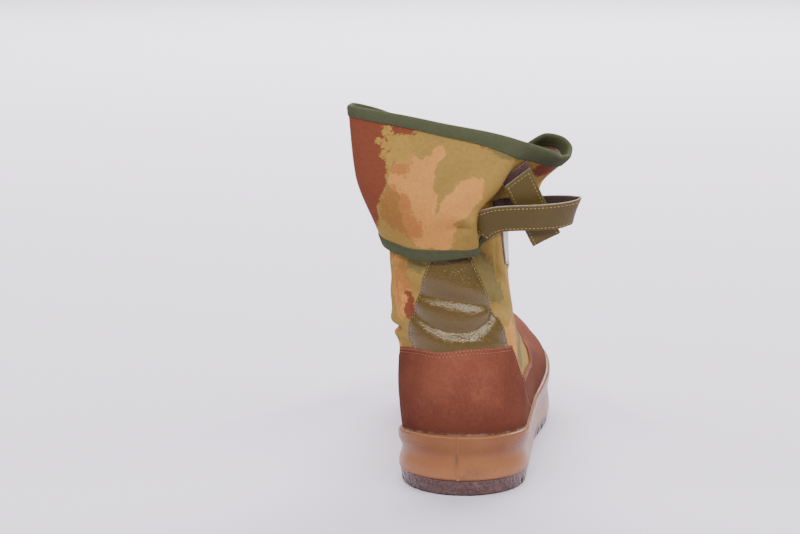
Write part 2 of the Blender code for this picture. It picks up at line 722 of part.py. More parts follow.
def build_strap(name, stops, widthways, skews):
    """A flat strip along its path, folded where the path turns back; skews slant its root, tip and fold."""
    path = np.array(stops)
    steps = np.concatenate([[0.0], np.cumsum(np.linalg.norm(np.diff(path, axis=0), axis=-1))])
    bend = steps[np.argmax(np.linalg.norm(path - path[0], axis=-1))]
    places = np.concatenate(
        [
            np.linspace(0.0, bend - FOLD_BEND, STRAP_STATIONS)[:-1],
            np.linspace(bend - FOLD_BEND, bend + FOLD_BEND, FOLD_STATIONS),
            np.linspace(bend + FOLD_BEND, steps[-1], STRAP_STATIONS)[1:],
        ]
    )
    line = np.stack([smooth(steps, path[:, k], places) for k in range(3)], axis=-1)
    along = unit(np.gradient(line, axis=0))
    wide = np.array(widthways) / np.linalg.norm(widthways)
    wide = unit(wide - (along @ wide)[:, None] * along)
    thick = np.cross(along, wide)
    across = np.array([-0.5, 0.5])
    grid = line[:, None, :] + wide[:, None, :] * (across * STRAP_WIDTH)[None, :, None]
    for skew, end, start in ((skews[0], 0, 3), (skews[1], -1, -4)):
        share = np.clip((places - places[start]) / (places[end] - places[start]), 0.0, 1.0)
        grid = grid + along[:, None, :] * (share[:, None] * across * 2.0 * skew)[:, :, None]
    share = np.clip(1.0 - np.abs(places - bend) / FOLD_REACH, 0.0, 1.0)
    outward = unit(path[np.argmax(np.linalg.norm(path - path[0], axis=-1))] - path[0])
    grid = grid + outward * (share[:, None] * across * 2.0 * skews[2])[:, :, None]
    offset = thick[:, None, :] * STRAP_WALL / 2
    sheet_solid(name, grid + offset, grid - offset, "leatherette")


def centre_on_floor():
    """Moves every piece so that the middle of the box round them stands on the origin."""
    bpy.context.view_layer.update()
    graph = bpy.context.evaluated_depsgraph_get()
    corners = []
    for thing in bpy.data.objects:
        if not thing.hide_render:
            mesh = thing.evaluated_get(graph).data
            corners.append(np.array([vertex.co for vertex in mesh.vertices]))
    points = np.concatenate(corners)
    low = points.min(axis=0)
    high = points.max(axis=0)
    middle = (low + high) / 2.0
    print("box in millimetres", np.round(low / MM, 3), np.round(high / MM, 3))
    for thing in bpy.data.objects:
        thing.location = (-middle[0], -middle[1], -low[2])


def main():
    for thing in list(bpy.data.objects):
        bpy.data.objects.remove(thing)
    build_outsole()
    build_midsole()
    build_insole()
    holes = build_eyelets()
    build_upper(holes)
    build_counter()
    build_vamp()
    build_back_panel()
    build_eyestay("eyestay_lateral", EYESTAY_LATERAL_FROM, EYESTAY_TO, holes)
    build_eyestay("eyestay_medial", -EYESTAY_TO, -EYESTAY_MEDIAL_FROM, holes)
    build_tongue()
    build_cuff()
    build_binding()
    build_strap("strap_cross", CROSS_STOPS, CROSS_WIDTHWAYS, CROSS_SKEW)
    build_strap("strap_up", UP_STOPS, UP_WIDTHWAYS, UP_SKEW)
    centre_on_floor()


main()
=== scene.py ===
"""Looks of a military boot for the right foot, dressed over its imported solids.

Tables are in millimetres in the boot's own frame: the toe points along +Y, the outer side of the foot is +X
and the back of the heel is at y = 0 on the floor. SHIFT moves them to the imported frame, and MM turns them to
metres.
"""

import logging
import math
from dataclasses import dataclass, field
from enum import Enum
from functools import partial
from typing import Any, NamedTuple, Optional, Sequence

import bmesh
import bpy
import numpy as np
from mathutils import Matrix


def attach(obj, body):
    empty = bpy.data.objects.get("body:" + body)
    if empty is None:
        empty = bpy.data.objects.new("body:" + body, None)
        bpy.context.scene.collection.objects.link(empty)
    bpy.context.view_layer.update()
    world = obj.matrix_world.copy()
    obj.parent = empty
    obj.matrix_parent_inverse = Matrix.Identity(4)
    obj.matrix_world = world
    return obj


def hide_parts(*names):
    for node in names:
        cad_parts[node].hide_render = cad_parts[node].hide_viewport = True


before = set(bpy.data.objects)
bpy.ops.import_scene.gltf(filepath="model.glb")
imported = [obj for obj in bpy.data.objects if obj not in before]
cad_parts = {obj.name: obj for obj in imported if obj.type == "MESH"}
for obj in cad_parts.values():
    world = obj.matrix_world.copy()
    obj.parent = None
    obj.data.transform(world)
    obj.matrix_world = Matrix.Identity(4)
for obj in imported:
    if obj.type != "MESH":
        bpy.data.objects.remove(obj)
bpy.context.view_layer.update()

Array = np.ndarray
Table = tuple[tuple[float, float], ...]
Thing = bpy.types.Object
Tree = bpy.types.NodeTree
Socket = bpy.types.NodeSocket
LOG = logging.getLogger("boot")
MM = 0.001
SHIFT = np.array((-1.4695, -144.473, 0.0))
BODY = "root"

# Socket numbers of a colour mix: its share, its two colours and its result
SHARE, FIRST, SECOND, MIXED = 0, 6, 7, 2


class Border(Enum):
    """The four borders of a grid of points."""

    FIRST_ROW = 0
    LAST_ROW = 1
    FIRST_COLUMN = 2
    LAST_COLUMN = 3


class Hold(Enum):
    """How a sheet of cloth is held."""

    DRAPED = "draped"
    LAID = "laid"
    FOLDED = "folded"
    STRETCHED = "stretched"


class Slot(Enum):
    """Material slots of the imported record."""

    OUTSOLE = "outsole_rubber"
    CUP = "moulded_cup"
    INSOLE = "insole_felt"
    CANVAS = "shaft_canvas"
    SUEDE = "suede"
    LEATHERETTE = "leatherette"
    TAPE = "binding_tape"
    EYELET = "eyelet_metal"


# Numbers and grids


def smooth(stops: Sequence[float], values: Any, at: Any) -> Array:
    """A cubic through the stops that never overshoots them.

    Args:
        stops: Places along the table, rising.
        values: One value for each stop, or a row of values for each stop.
        at: Places to read.

    Returns:
        The value at each place.
    """
    stops = np.asarray(stops, float)
    at = np.atleast_1d(np.clip(at, stops[0], stops[-1]))
    values = np.asarray(values, float)
    if values.ndim == 1:
        values = np.repeat(values[:, None], len(at), axis=1)
    steps = np.diff(stops)[:, None]
    slopes = np.diff(values, axis=0) / steps
    product = slopes[:-1] * slopes[1:]
    alike = product > 0.0
    total = np.where(alike, slopes[:-1] + slopes[1:], 1.0)
    inner = np.where(alike, 2.0 * product / total, 0.0)
    tangents = np.concatenate([slopes[:1], inner, slopes[-1:]])
    low = np.clip(np.searchsorted(stops, at, side="right") - 1, 0, len(stops) - 2)
    column = np.arange(len(at))
    step = steps[low, 0]
    u = (at - stops[low]) / step
    rise = tangents[low, column] * step
    fall = tangents[low + 1, column] * step
    return (
        values[low, column] * (2 * u**3 - 3 * u**2 + 1)
        + rise * (u**3 - 2 * u**2 + u)
        + values[low + 1, column] * (3 * u**2 - 2 * u**3)
        + fall * (u**3 - u**2)
    )


def read_rows(rows: Sequence[tuple[float, float]], at: Array) -> Array:
    """Second column of a two-column table, read at the first.

    Args:
        rows: Pairs of place and value.
        at: Places to read, in any shape.

    Returns:
        Values in the shape of the places.
    """
    stops, values = zip(*rows)
    return smooth(stops, values, at.ravel()).reshape(at.shape)


def unit(vectors: Array) -> Array:
    """Vectors of length one."""
    return vectors / np.maximum(np.linalg.norm(vectors, axis=-1, keepdims=True), 1e-9)


def hump(distance: Array) -> Array:
    """A soft bell that is one at zero."""
    return np.exp(-(distance**2))


def clustered(count: int, pull: float = 0.55) -> Array:
    """Places from 0 to 1 that lie closer together near both ends.

    Args:
        count: How many places.
        pull: How strongly they are drawn to the ends, from 0 to 1.

    Returns:
        The places, rising.
    """
    even = np.linspace(0.0, 1.0, count)
    return (1.0 - pull) * even + pull * (0.5 - 0.5 * np.cos(np.pi * even))


def arc(points: Array, axis: int) -> Array:
    """Length along the lines of a grid.

    Args:
        points: Grid of points.
        axis: 0 to run across the rows, 1 to run along the columns.

    Returns:
        Length from the first line to each point.
    """
    steps = np.linalg.norm(np.diff(points, axis=axis), axis=-1)
    pad = [(0, 0), (0, 0)]
    pad[axis] = (1, 0)
    return np.pad(np.cumsum(steps, axis=axis), pad)


class Patch:
    """A grid of points on a surface, with its normals and the way to each border."""

    def __init__(self, points: Array) -> None:
        """Takes the grid and measures it.

        Args:
            points: Rows by columns by three, in millimetres.
        """
        self.points = points
        across = np.gradient(points, axis=0)
        along = np.gradient(points, axis=1)
        self.normals = unit(np.cross(across, along))
        self.across = arc(points, 0)
        self.along = arc(points, 1)

    def reach(self, border: Border) -> Array:
        """Distance of every point from one border.

        Args:
            border: The border to measure from.

        Returns:
            Distances in millimetres.
        """
        if border is Border.FIRST_ROW:
            return self.across
        if border is Border.LAST_ROW:
            return self.across[-1:] - self.across
        if border is Border.FIRST_COLUMN:
            return self.along
        return self.along[:, -1:] - self.along

    def cut(self) -> tuple[tuple[float, float], float]:
        """Flat size in metres and area in square metres of the cloth that the grid was cut from."""
        grid = self.points
        corner = grid[:-1, :-1]
        lower = np.linalg.norm(np.cross(grid[1:, :-1] - corner, grid[:-1, 1:] - corner), axis=-1).sum()
        far = grid[1:, 1:]
        upper = np.linalg.norm(np.cross(grid[1:, :-1] - far, grid[:-1, 1:] - far), axis=-1).sum()
        width, length = float(self.across.max()) * MM, float(self.along.max()) * MM
        return (width, length), min(float(lower + upper) / 2.0 * MM**2, width * length)

    def inset(self) -> Array:
        """Distance of every point from the nearest border."""
        return np.minimum.reduce([self.reach(border) for border in Border])

    def flat(self) -> Array:
        """Place of every point on the flat cloth, in metres."""
        return np.stack([self.across, self.along], axis=-1).reshape(-1, 2) * MM

    def rounded(self, radius: float, least: float) -> Array:
        """Share of the full thickness at every point of a sheet with a rounded rim.

        Args:
            radius: Width of the rounding, in millimetres.
            least: Share at the very edge.

        Returns:
            Shares up to one.
        """
        edge = np.clip(self.inset() / radius, 0.0, 1.0)
        return least + (1.0 - least) * np.sqrt(1.0 - (1.0 - edge) ** 2)

    def line(self, border: Border, inset: float, trim: tuple[float, float]) -> tuple[Array, Array]:
        """Points and normals along a border, a distance inside it.

        Args:
            border: The border to follow.
            inset: Distance inside it, in millimetres.
            trim: Lengths left off at the start and the end.

        Returns:
            Points of the line and the normal at each.
        """
        by_row = border in (Border.FIRST_COLUMN, Border.LAST_COLUMN)
        reach = self.reach(border)
        count = self.points.shape[0 if by_row else 1]
        points = np.empty((count, 3))
        normals = np.empty((count, 3))
        for i in range(count):
            take = (i, slice(None)) if by_row else (slice(None), i)
            run = reach[take]
            order = np.argsort(run)
            for k in range(3):
                points[i, k] = np.interp(inset, run[order], self.points[take][order][:, k])
                normals[i, k] = np.interp(inset, run[order], self.normals[take][order][:, k])
        return trimmed(points, normals, trim)


def trimmed(points: Array, normals: Array, trim: tuple[float, float]) -> tuple[Array, Array]:
    """A line laid out evenly, with its ends left off.

    Args:
        points: Points of the line.
        normals: Normal at each.
        trim: Lengths left off at the start and the end.

    Returns:
        Even points and their normals.
    """
    run = np.concatenate([[0.0], np.cumsum(np.linalg.norm(np.diff(points, axis=0), axis=-1))])
    places = np.linspace(trim[0], run[-1] - trim[1], max(int(run[-1]), 4))
    even = np.stack([np.interp(places, run, points[:, k]) for k in range(3)], axis=-1)
    facing = np.stack([np.interp(places, run, normals[:, k]) for k in range(3)], axis=-1)
    return even, unit(facing)


# Meshes


def shell_faces(rows: int, columns: int) -> list[tuple[int, ...]]:
    """Faces of a sheet made of two grids, the outer one first.

    Args:
        rows: Rows of each grid.
        columns: Columns of each grid.

    Returns:
        Faces of the outer grid, then of the inner grid, then of the rim.
    """
    below = rows * columns
    outer = []
    for i in range(rows - 1):
        for j in range(columns - 1):
            a = i * columns + j
            outer.append((a, a + columns, a + columns + 1, a + 1))
    inner = [tuple(below + k for k in reversed(face)) for face in outer]
    rim = list(range(columns))
    rim += [i * columns + columns - 1 for i in range(1, rows)]
    rim += [(rows - 1) * columns + j for j in range(columns - 2, -1, -1)]
    rim += [i * columns for i in range(rows - 2, 0, -1)]
    ends = [(a, b, below + b, below + a) for a, b in zip(rim, rim[1:] + rim[:1])]
    return outer + inner + ends


def ring_faces(count: int, rings: int, looped: bool) -> list[tuple[int, ...]]:
    """Faces through rings of points.

    Args:
        count: Points in a ring.
        rings: How many rings.
        looped: Whether the last ring joins the first; otherwise both end rings are closed by rungs.

    Returns:
        The faces.
    """
    faces = []
    for r in range(rings if looped else rings - 1):
        first, second = r * count, ((r + 1) % rings) * count
        for i in range(count):
            after = (i + 1) % count
            faces.append((first + i, first + after, second + after, second + i))
    if not looped:
        for first in (0, (rings - 1) * count):
            faces.append((first, first + 1, first + count - 1))
            for i in range(1, count // 2 - 1):
                faces.append((first + i, first + i + 1, first + count - i - 1, first + count - i))
            middle = first + count // 2
            faces.append((middle - 1, middle, middle + 1))
    return faces


def make_piece(
    name: str,
    points: Array,
    faces: list[tuple[int, ...]],
    materials: Sequence[bpy.types.Material],
    slots: Optional[Array] = None,
    uv: Optional[Array] = None,
    fields: Optional[dict[str, Array]] = None,
) -> Thing:
    """One smooth mesh object with its faces turned outward.

    Args:
        name: Name of the piece.
        points: Points in millimetres in the boot's own frame.
        faces: Point numbers of each face.
        materials: Materials of the piece.
        slots: Material number of each face.
        uv: Place of each point on the flat piece, in metres.
        fields: Values at each point that the materials read.

    Returns:
        The object, linked to the scene.
    """
    mesh = bpy.data.meshes.new(name)
    mesh.from_pydata(((points + SHIFT) * MM).tolist(), [], faces)
    if slots is not None:
        mesh.polygons.foreach_set("material_index", np.asarray(slots, np.int32))
    shape = bmesh.new()
    shape.from_mesh(mesh)
    bmesh.ops.recalc_face_normals(shape, faces=shape.faces)
    if shape.calc_volume(signed=True) < 0.0:
        bmesh.ops.reverse_faces(shape, faces=shape.faces)
    shape.to_mesh(mesh)
    shape.free()
    mesh.polygons.foreach_set("use_smooth", np.ones(len(mesh.polygons), bool))
    if uv is not None:
        corners = np.empty(len(mesh.loops), np.int32)
        mesh.loops.foreach_get("vertex_index", corners)
        mesh.uv_layers.new(name="cloth").data.foreach_set("uv", uv[corners].astype(np.float32).ravel())
    for label, values in (fields or {}).items():
        mesh.attributes.new(label, "FLOAT", "POINT").data.foreach_set("value", values.astype(np.float32))
    for material in materials:
        mesh.materials.append(material)
    thing = bpy.data.objects.new(name, mesh)
    bpy.context.scene.collection.objects.link(thing)
    return thing


def make_sheet(
    name: str,
    points: Array,
    shape: tuple[int, int],
    materials: Sequence[bpy.types.Material],
    flat: Optional[Array] = None,
    fields: Optional[dict[str, Array]] = None,
    rim_slot: int = 0,
) -> Thing:
    """A closed sheet between two grids.

    Args:
        name: Name of the piece.
        points: Points of the outer grid, then of the inner grid.
        shape: Rows and columns of each grid.
        materials: Materials of the outer face, the inner face and the rim, as far as they differ.
        flat: Place of each point of a grid on the flat cloth.
        fields: Values at each point that the materials read.
        rim_slot: Material number of the rim.

    Returns:
        The object, linked to the scene.
    """
    faces = shell_faces(*shape)
    cells = (shape[0] - 1) * (shape[1] - 1)
    slots = np.full(len(faces), rim_slot, np.int32)
    slots[:cells] = 0
    slots[cells : 2 * cells] = min(1, len(materials) - 1)
    uv = None if flat is None else np.concatenate([flat, flat])
    return make_piece(name, points, faces, materials, slots, uv, fields)


def both_faces(outer: Array, inner: Array) -> Array:
    """Points of the outer grid of a sheet, then of its inner grid."""
    return np.concatenate([outer.reshape(-1, 3), inner.reshape(-1, 3)])


def settle(thing: Thing, slot: Slot, *nodes: str) -> Thing:
    """Makes a finished piece ride on the boot and stand for its solids.

    Args:
        thing: The piece.
        slot: Material slot of the piece; not used.
        nodes: Solids that it stands for.

    Returns:
        The piece.
    """
    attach(thing, BODY)
    if nodes:
        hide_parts(*nodes)
    LOG.info("%s: %d faces", thing.name, len(thing.data.polygons))
    return thing


def declare(
    cloth: Patch
) -> None:
    """Measures the flat size and area of the cut of a sheet of cloth, and keeps neither.

    Args:
        cloth: Grid along the middle of the sheet.
    """
    flat, area = cloth.cut()


def evaluated_mesh(thing: Thing) -> None:
    """Turns what the modifiers give into the object's own plain mesh."""
    bpy.context.view_layer.update()
    graph = bpy.context.evaluated_depsgraph_get()
    mesh = bpy.data.meshes.new_from_object(thing.evaluated_get(graph))
    thing.modifiers.clear()
    thing.data = mesh


# Node trees


def add_node(tree: Tree, kind: str, inputs: Any = (), **settings: Any) -> bpy.types.Node:
    """Adds a node, sets it and links it.

    Args:
        tree: Tree that takes the node.
        kind: Blender's name of the node type.
        inputs: Sockets to link or values to set, in order, or by input name or number.
        settings: The node's own properties.

    Returns:
        The node.
    """
    node = tree.nodes.new(kind)
    for label, value in settings.items():
        setattr(node, label, value)
    for label, value in inputs.items() if isinstance(inputs, dict) else enumerate(inputs):
        if isinstance(value, Socket):
            tree.links.new(value, node.inputs[label])
        else:
            node.inputs[label].default_value = value
    return node


def new_tree(name: str, inputs: dict[str, str]) -> Tree:
    """An empty Geometry Nodes tree with named inputs.

    Args:
        name: Name of the tree.
        inputs: Kind of value by the name of each input.

    Returns:
        The tree.
    """
    tree = bpy.data.node_groups.new(name, "GeometryNodeTree")
    for label, kind in {"Geometry": "Geometry", **inputs}.items():
        tree.interface.new_socket(label, in_out="INPUT", socket_type=f"NodeSocket{kind}")
    tree.interface.new_socket("Geometry", in_out="OUTPUT", socket_type="NodeSocketGeometry")
    return tree


def close_tree(tree: Tree, laid: Socket, material: Socket) -> None:
    """Ends a tree: makes its copies real, smooths them and gives them their material.

    Args:
        tree: The tree.
        laid: The copies.
        material: Their material.
    """
    add = partial(add_node, tree)
    real = add("GeometryNodeRealizeInstances", {"Geometry": laid}).outputs["Geometry"]
    soft = add("GeometryNodeSetShadeSmooth", {"Geometry": real}).outputs["Geometry"]
    dyed = add("GeometryNodeSetMaterial", {"Geometry": soft, "Material": material}).outputs["Geometry"]
    add("NodeGroupOutput", {"Geometry": dyed})


def grow(
    name: str,
    points: Array,
    normals: Array,
    edges: Sequence[tuple[int, int]],
    tree: Tree,
    values: dict[str, Any],
) -> Thing:
    """Lets a Geometry Nodes tree work on points that know which way is outward.

    Args:
        name: Name of the piece.
        points: Points in millimetres in the boot's own frame.
        normals: Outward direction at each point.
        edges: Point numbers of each edge.
        tree: The tree.
        values: Values of the tree's named inputs.

    Returns:
        The piece as a plain mesh.
    """
    mesh = bpy.data.meshes.new(name)
    mesh.from_pydata(((points + SHIFT) * MM).tolist(), edges, [])
    facing = mesh.attributes.new("facing", "FLOAT_VECTOR", "POINT")
    facing.data.foreach_set("vector", normals.astype(np.float32).ravel())
    thing = bpy.data.objects.new(name, mesh)
    bpy.context.scene.collection.objects.link(thing)
    modifier = thing.modifiers.new(name, "NODES")
    modifier.node_group = tree
    for item in tree.interface.items_tree:
        if item.in_out == "INPUT" and item.name in values:
            modifier[item.identifier] = values[item.name]
    evaluated_mesh(thing)
    return thing


# Materials


def linear(hex_color: str) -> tuple[float, float, float, float]:
    """Linear colour from an sRGB hex value.

    Args:
        hex_color: Six hex digits.

    Returns:
        Red, green, blue and alpha.
    """
    parts = [int(hex_color[i : i + 2], 16) / 255.0 for i in (0, 2, 4)]
    red, green, blue = (c / 12.92 if c <= 0.04045 else ((c + 0.055) / 1.055) ** 2.4 for c in parts)
    return red, green, blue, 1.0


def sized(vector: Socket, size: float, **others: float) -> dict[str, Any]:
    """Inputs of a texture whose features have a size in millimetres on metre coordinates.

    Args:
        vector: Coordinates that the texture reads.
        size: Size of a feature, in millimetres.
        others: Its other inputs by name.

    Returns:
        The inputs by name.
    """
    return {"Vector": vector, "Scale": 1.0 / (size * MM), **others}


def wave_scale(pitch: float) -> float:
    """Wave texture scale on metre coordinates for a pitch in millimetres."""
    return 2.0 * math.pi / (20.0 * pitch * MM)


@dataclass(frozen=True)
class Finish:
    """What every surface of the boot has: a name, a gloss and constant shader values."""

    name: str
    color: str
    roughness: float = 0.8
    sheen: float = 0.0
    sheen_roughness: float = 0.5
    specular: float = 0.5
    tint: str = "FFFFFF"

    def material(self) -> bpy.types.Material:
        """Returns the finished material, made once."""
        if self.name in bpy.data.materials:
            return bpy.data.materials[self.name]
        made = bpy.data.materials.new(self.name)
        made.use_nodes = True
        shader = made.node_tree.nodes["Principled BSDF"]
        shader.inputs["Base Color"].default_value = linear(self.color)
        shader.inputs["Roughness"].default_value = self.roughness
        shader.inputs["Sheen Weight"].default_value = self.sheen
        shader.inputs["Sheen Roughness"].default_value = self.sheen_roughness
        shader.inputs["Specular IOR Level"].default_value = self.specular
        shader.inputs["Specular Tint"].default_value = linear(self.tint)
        self.paint(made.node_tree, shader)
        return made

    def paint(self, tree: Tree, shader: bpy.types.Node) -> None:
        """Adds the pattern; the plain finish has none.

        Args:
            tree: The material's tree.
            shader: Its shader.
        """

    def layer(self, tree: Tree, base: Any, coats: Sequence) -> Socket:
        """Lays colours over one another.

        Args:
            tree: The material's tree.
            base: The lowest colour, as a hex value or a socket.
            coats: Pairs of a socket with the share of a colour, and its hex value.

        Returns:
            The colour that shows.
        """
        color = linear(base) if isinstance(base, str) else base
        for share, shade in coats:
            inputs = {SHARE: share, FIRST: color, SECOND: linear(shade)}
            color = add_node(tree, "ShaderNodeMix", inputs, data_type="RGBA").outputs[MIXED]
        return color

    def bump(
        self, tree: Tree, shader: bpy.types.Node, layers: Sequence[tuple[Any, float]]
    ) -> None:
        """Links a relief made of several heights.

        Args:
            tree: The material's tree.
            shader: Its shader.
            layers: Pairs of a height socket from 0 to 1 and its depth in millimetres.
        """
        normal = None
        for height, depth in layers:
            inputs = {"Height": height, "Distance": depth * MM, "Strength": 1.0}
            if normal is not None:
                inputs["Normal"] = normal
            normal = add_node(tree, "ShaderNodeBump", inputs).outputs["Normal"]
        tree.links.new(normal, shader.inputs["Normal"])


class Ink(NamedTuple):
    """A colour of the print: its field, how ragged and flecked its border is, and how well it covers."""

    label: str
    color: str
    ragged: float
    flecked: float
    cover: float


@dataclass(frozen=True)
class PrintedCanvas(Finish):
    """Woven cotton printed with ragged blotches: dry, matt, with a faint thread grid."""

    inks: tuple[Ink, ...] = (
        Ink("sand", "B17A40", 5.0, 1.0, 0.96),
        # The wash is a colour of the print, and one of its blotches also lays painted shade on the inner side
        # of the shaft
        Ink("wash_and_shade", "7A4629", 5.0, 9.0, 0.55),
        Ink("olive", "5D5534", 4.0, 3.0, 0.85),
        Ink("rust", "693627", 5.0, 3.4, 0.96),
        Ink("ochre", "917337", 3.2, 3.6, 0.95),
    )
    faded: str = "7C6537"
    cloud: float = 26.0
    tear: float = 9.0
    fleck: float = 2.2
    border: float = 0.35
    # Real threads are about 0.5 mm apart; they are drawn coarser, so that they show
    thread: float = 1.1

    def paint(self, tree: Tree, shader: bpy.types.Node) -> None:
        """Paints the blotches where the piece's own fields are high, then weaves the threads."""
        add = partial(add_node, tree)
        spot = add("ShaderNodeTexCoord").outputs["Object"]
        torn = add("ShaderNodeTexNoise", sized(spot, self.tear, Detail=5.0, Roughness=0.62)).outputs["Fac"]
        fleck = add("ShaderNodeTexNoise", sized(spot, self.fleck, Detail=3.0, Roughness=0.6)).outputs["Fac"]
        haze = add("ShaderNodeTexNoise", sized(spot, self.cloud, Detail=4.0, Roughness=0.55)).outputs["Fac"]
        coats = [(haze, self.faded)]
        for ink in self.inks:
            depth = add("ShaderNodeAttribute", attribute_name=ink.label).outputs["Fac"]
            for noise, reach in ((torn, ink.ragged), (fleck, ink.flecked)):
                swing = add("ShaderNodeMath", (noise, reach * 2.0, -reach), operation="MULTIPLY_ADD").outputs[0]
                depth = add("ShaderNodeMath", (depth, swing), operation="ADD").outputs[0]
            share = add("ShaderNodeMapRange", (depth, -self.border, self.border, 0.0, ink.cover)).outputs[0]
            coats.append((share, ink.color))
        color = self.layer(tree, self.color, coats)
        worn = add("ShaderNodeMapRange", (fleck, 0.3, 0.75, 0.86, 1.06)).outputs[0]
        shaded = {SHARE: 1.0, FIRST: color, SECOND: worn}
        color = add("ShaderNodeMix", shaded, data_type="RGBA", blend_type="MULTIPLY").outputs[MIXED]
        tree.links.new(color, shader.inputs["Base Color"])
        cloth = add("ShaderNodeUVMap", uv_map="cloth").outputs["UV"]
        bands = {"Vector": cloth, "Scale": wave_scale(self.thread), "Distortion": 0.6}
        warp = add("ShaderNodeTexWave", bands, bands_direction="X").outputs["Fac"]
        weft = add("ShaderNodeTexWave", bands, bands_direction="Y").outputs["Fac"]
        weave = add("ShaderNodeMath", (warp, weft), operation="MULTIPLY").outputs[0]
        self.bump(tree, shader, ((weave, 0.10), (fleck, 0.18), (haze, 0.5)))


@dataclass(frozen=True)
class Suede(Finish):
    """Brushed split leather: a dull velvety nap with painted shade towards its sides and its foot, paler at cut
    edges.
    """

    dark: str = "62362A"
    pale: str = "794837"
    # Colour of the painted shade towards the sides and the foot
    painted_shade: str = "3C1D15"
    glue: str = "8C8078"
    cloud: float = 22.0
    stroke: float = 6.0
    # Real nap is finer than 0.5 mm; it is drawn coarser, so that it shows
    nap: float = 1.6
    # Metres from the middle line and above the floor between which painted shade darkens the nap
    shade_sides: tuple[float, float] = (0.012, 0.044)
    shade_foot: tuple[float, float] = (0.070, 0.040)

    def paint(self, tree: Tree, shader: bpy.types.Node) -> None:
        """Mottles the nap, paints shade towards the sides and the foot, pales the cut rim and greys the glued
        foot.
        """
        add = partial(add_node, tree)
        spot = add("ShaderNodeTexCoord").outputs["Object"]
        cloud = add("ShaderNodeTexNoise", sized(spot, self.cloud, Detail=6.0, Roughness=0.6)).outputs["Fac"]
        nap = add("ShaderNodeTexNoise", sized(spot, self.nap, Detail=4.0, Roughness=0.7)).outputs["Fac"]
        stroke = add("ShaderNodeTexNoise", sized(spot, self.stroke, Detail=3.0, Distortion=1.2)).outputs["Fac"]
        low = add("ShaderNodeMapRange", (cloud, 0.28, 0.66)).outputs[0]
        high = add("ShaderNodeMapRange", (stroke, 0.52, 0.72, 0.0, 0.45)).outputs[0]
        color = self.layer(tree, self.dark, ((low, self.color), (high, self.pale)))
        grain = add("ShaderNodeMapRange", (nap, 0.3, 0.7, 0.86, 1.1)).outputs[0]
        shaded = {SHARE: 1.0, FIRST: color, SECOND: grain}
        color = add("ShaderNodeMix", shaded, data_type="RGBA", blend_type="MULTIPLY").outputs[MIXED]
        # Painted shade: darker towards the sides and towards the floor
        place = add("ShaderNodeSeparateXYZ", (spot,)).outputs
        apart = add("ShaderNodeMath", (place["X"],), operation="ABSOLUTE").outputs[0]
        side_shade = add("ShaderNodeMapRange", (apart, *self.shade_sides, 0.0, 0.6)).outputs[0]
        foot_shade = add("ShaderNodeMapRange", (place["Z"], *self.shade_foot, 0.0, 0.6)).outputs[0]
        painted_shade = add("ShaderNodeMath", (side_shade, foot_shade), operation="MAXIMUM").outputs[0]
        rim = add("ShaderNodeAttribute", attribute_name="rim").outputs["Fac"]
        worn = add("ShaderNodeMath", (rim, 0.55), operation="MULTIPLY").outputs[0]
        foot = add("ShaderNodeAttribute", attribute_name="foot").outputs["Fac"]
        patchy = add("ShaderNodeMapRange", (stroke, 0.42, 0.6, 0.15, 0.95)).outputs[0]
        glued = add("ShaderNodeMath", (foot, patchy), operation="MULTIPLY").outputs[0]
        color = self.layer(tree, color, ((painted_shade, self.painted_shade), (worn, self.pale), (glued, self.glue)))
        tree.links.new(color, shader.inputs["Base Color"])
        self.bump(tree, shader, ((nap, 0.3), (stroke, 0.25), (cloud, 0.3)))


@dataclass(frozen=True)
class Leatherette(Finish):
    """Coated cloth with a fine pressed grain: smooth and glossy, with sparkling points in its highlights."""

    dark: str = "45391D"
    cut: str = "5A4B34"
    cloud: float = 18.0
    # Real grain is about 0.4 mm wide; it is drawn coarser, so that it shows
    grain: float = 1.0
    pin: float = 1.1

    def paint(self, tree: Tree, shader: bpy.types.Node) -> None:
        """Presses the grain and varies the gloss."""
        add = partial(add_node, tree)
        spot = add("ShaderNodeTexCoord").outputs["Object"]
        cloud = add("ShaderNodeTexNoise", sized(spot, self.cloud, Detail=4.0)).outputs["Fac"]
        press = add("ShaderNodeTexVoronoi", sized(spot, self.grain)).outputs["Distance"]
        pin = add("ShaderNodeTexNoise", sized(spot, self.pin, Detail=2.0)).outputs["Fac"]
        rim = add("ShaderNodeAttribute", attribute_name="rim").outputs["Fac"]
        color = self.layer(tree, self.dark, ((cloud, self.color), (rim, self.cut)))
        tree.links.new(color, shader.inputs["Base Color"])
        dull = (self.roughness - 0.04, self.roughness + 0.05)
        gloss = add("ShaderNodeMapRange", (pin, 0.3, 0.7, *dull)).outputs[0]
        tree.links.new(gloss, shader.inputs["Roughness"])
        self.bump(tree, shader, ((press, 0.02), (pin, 0.32)))


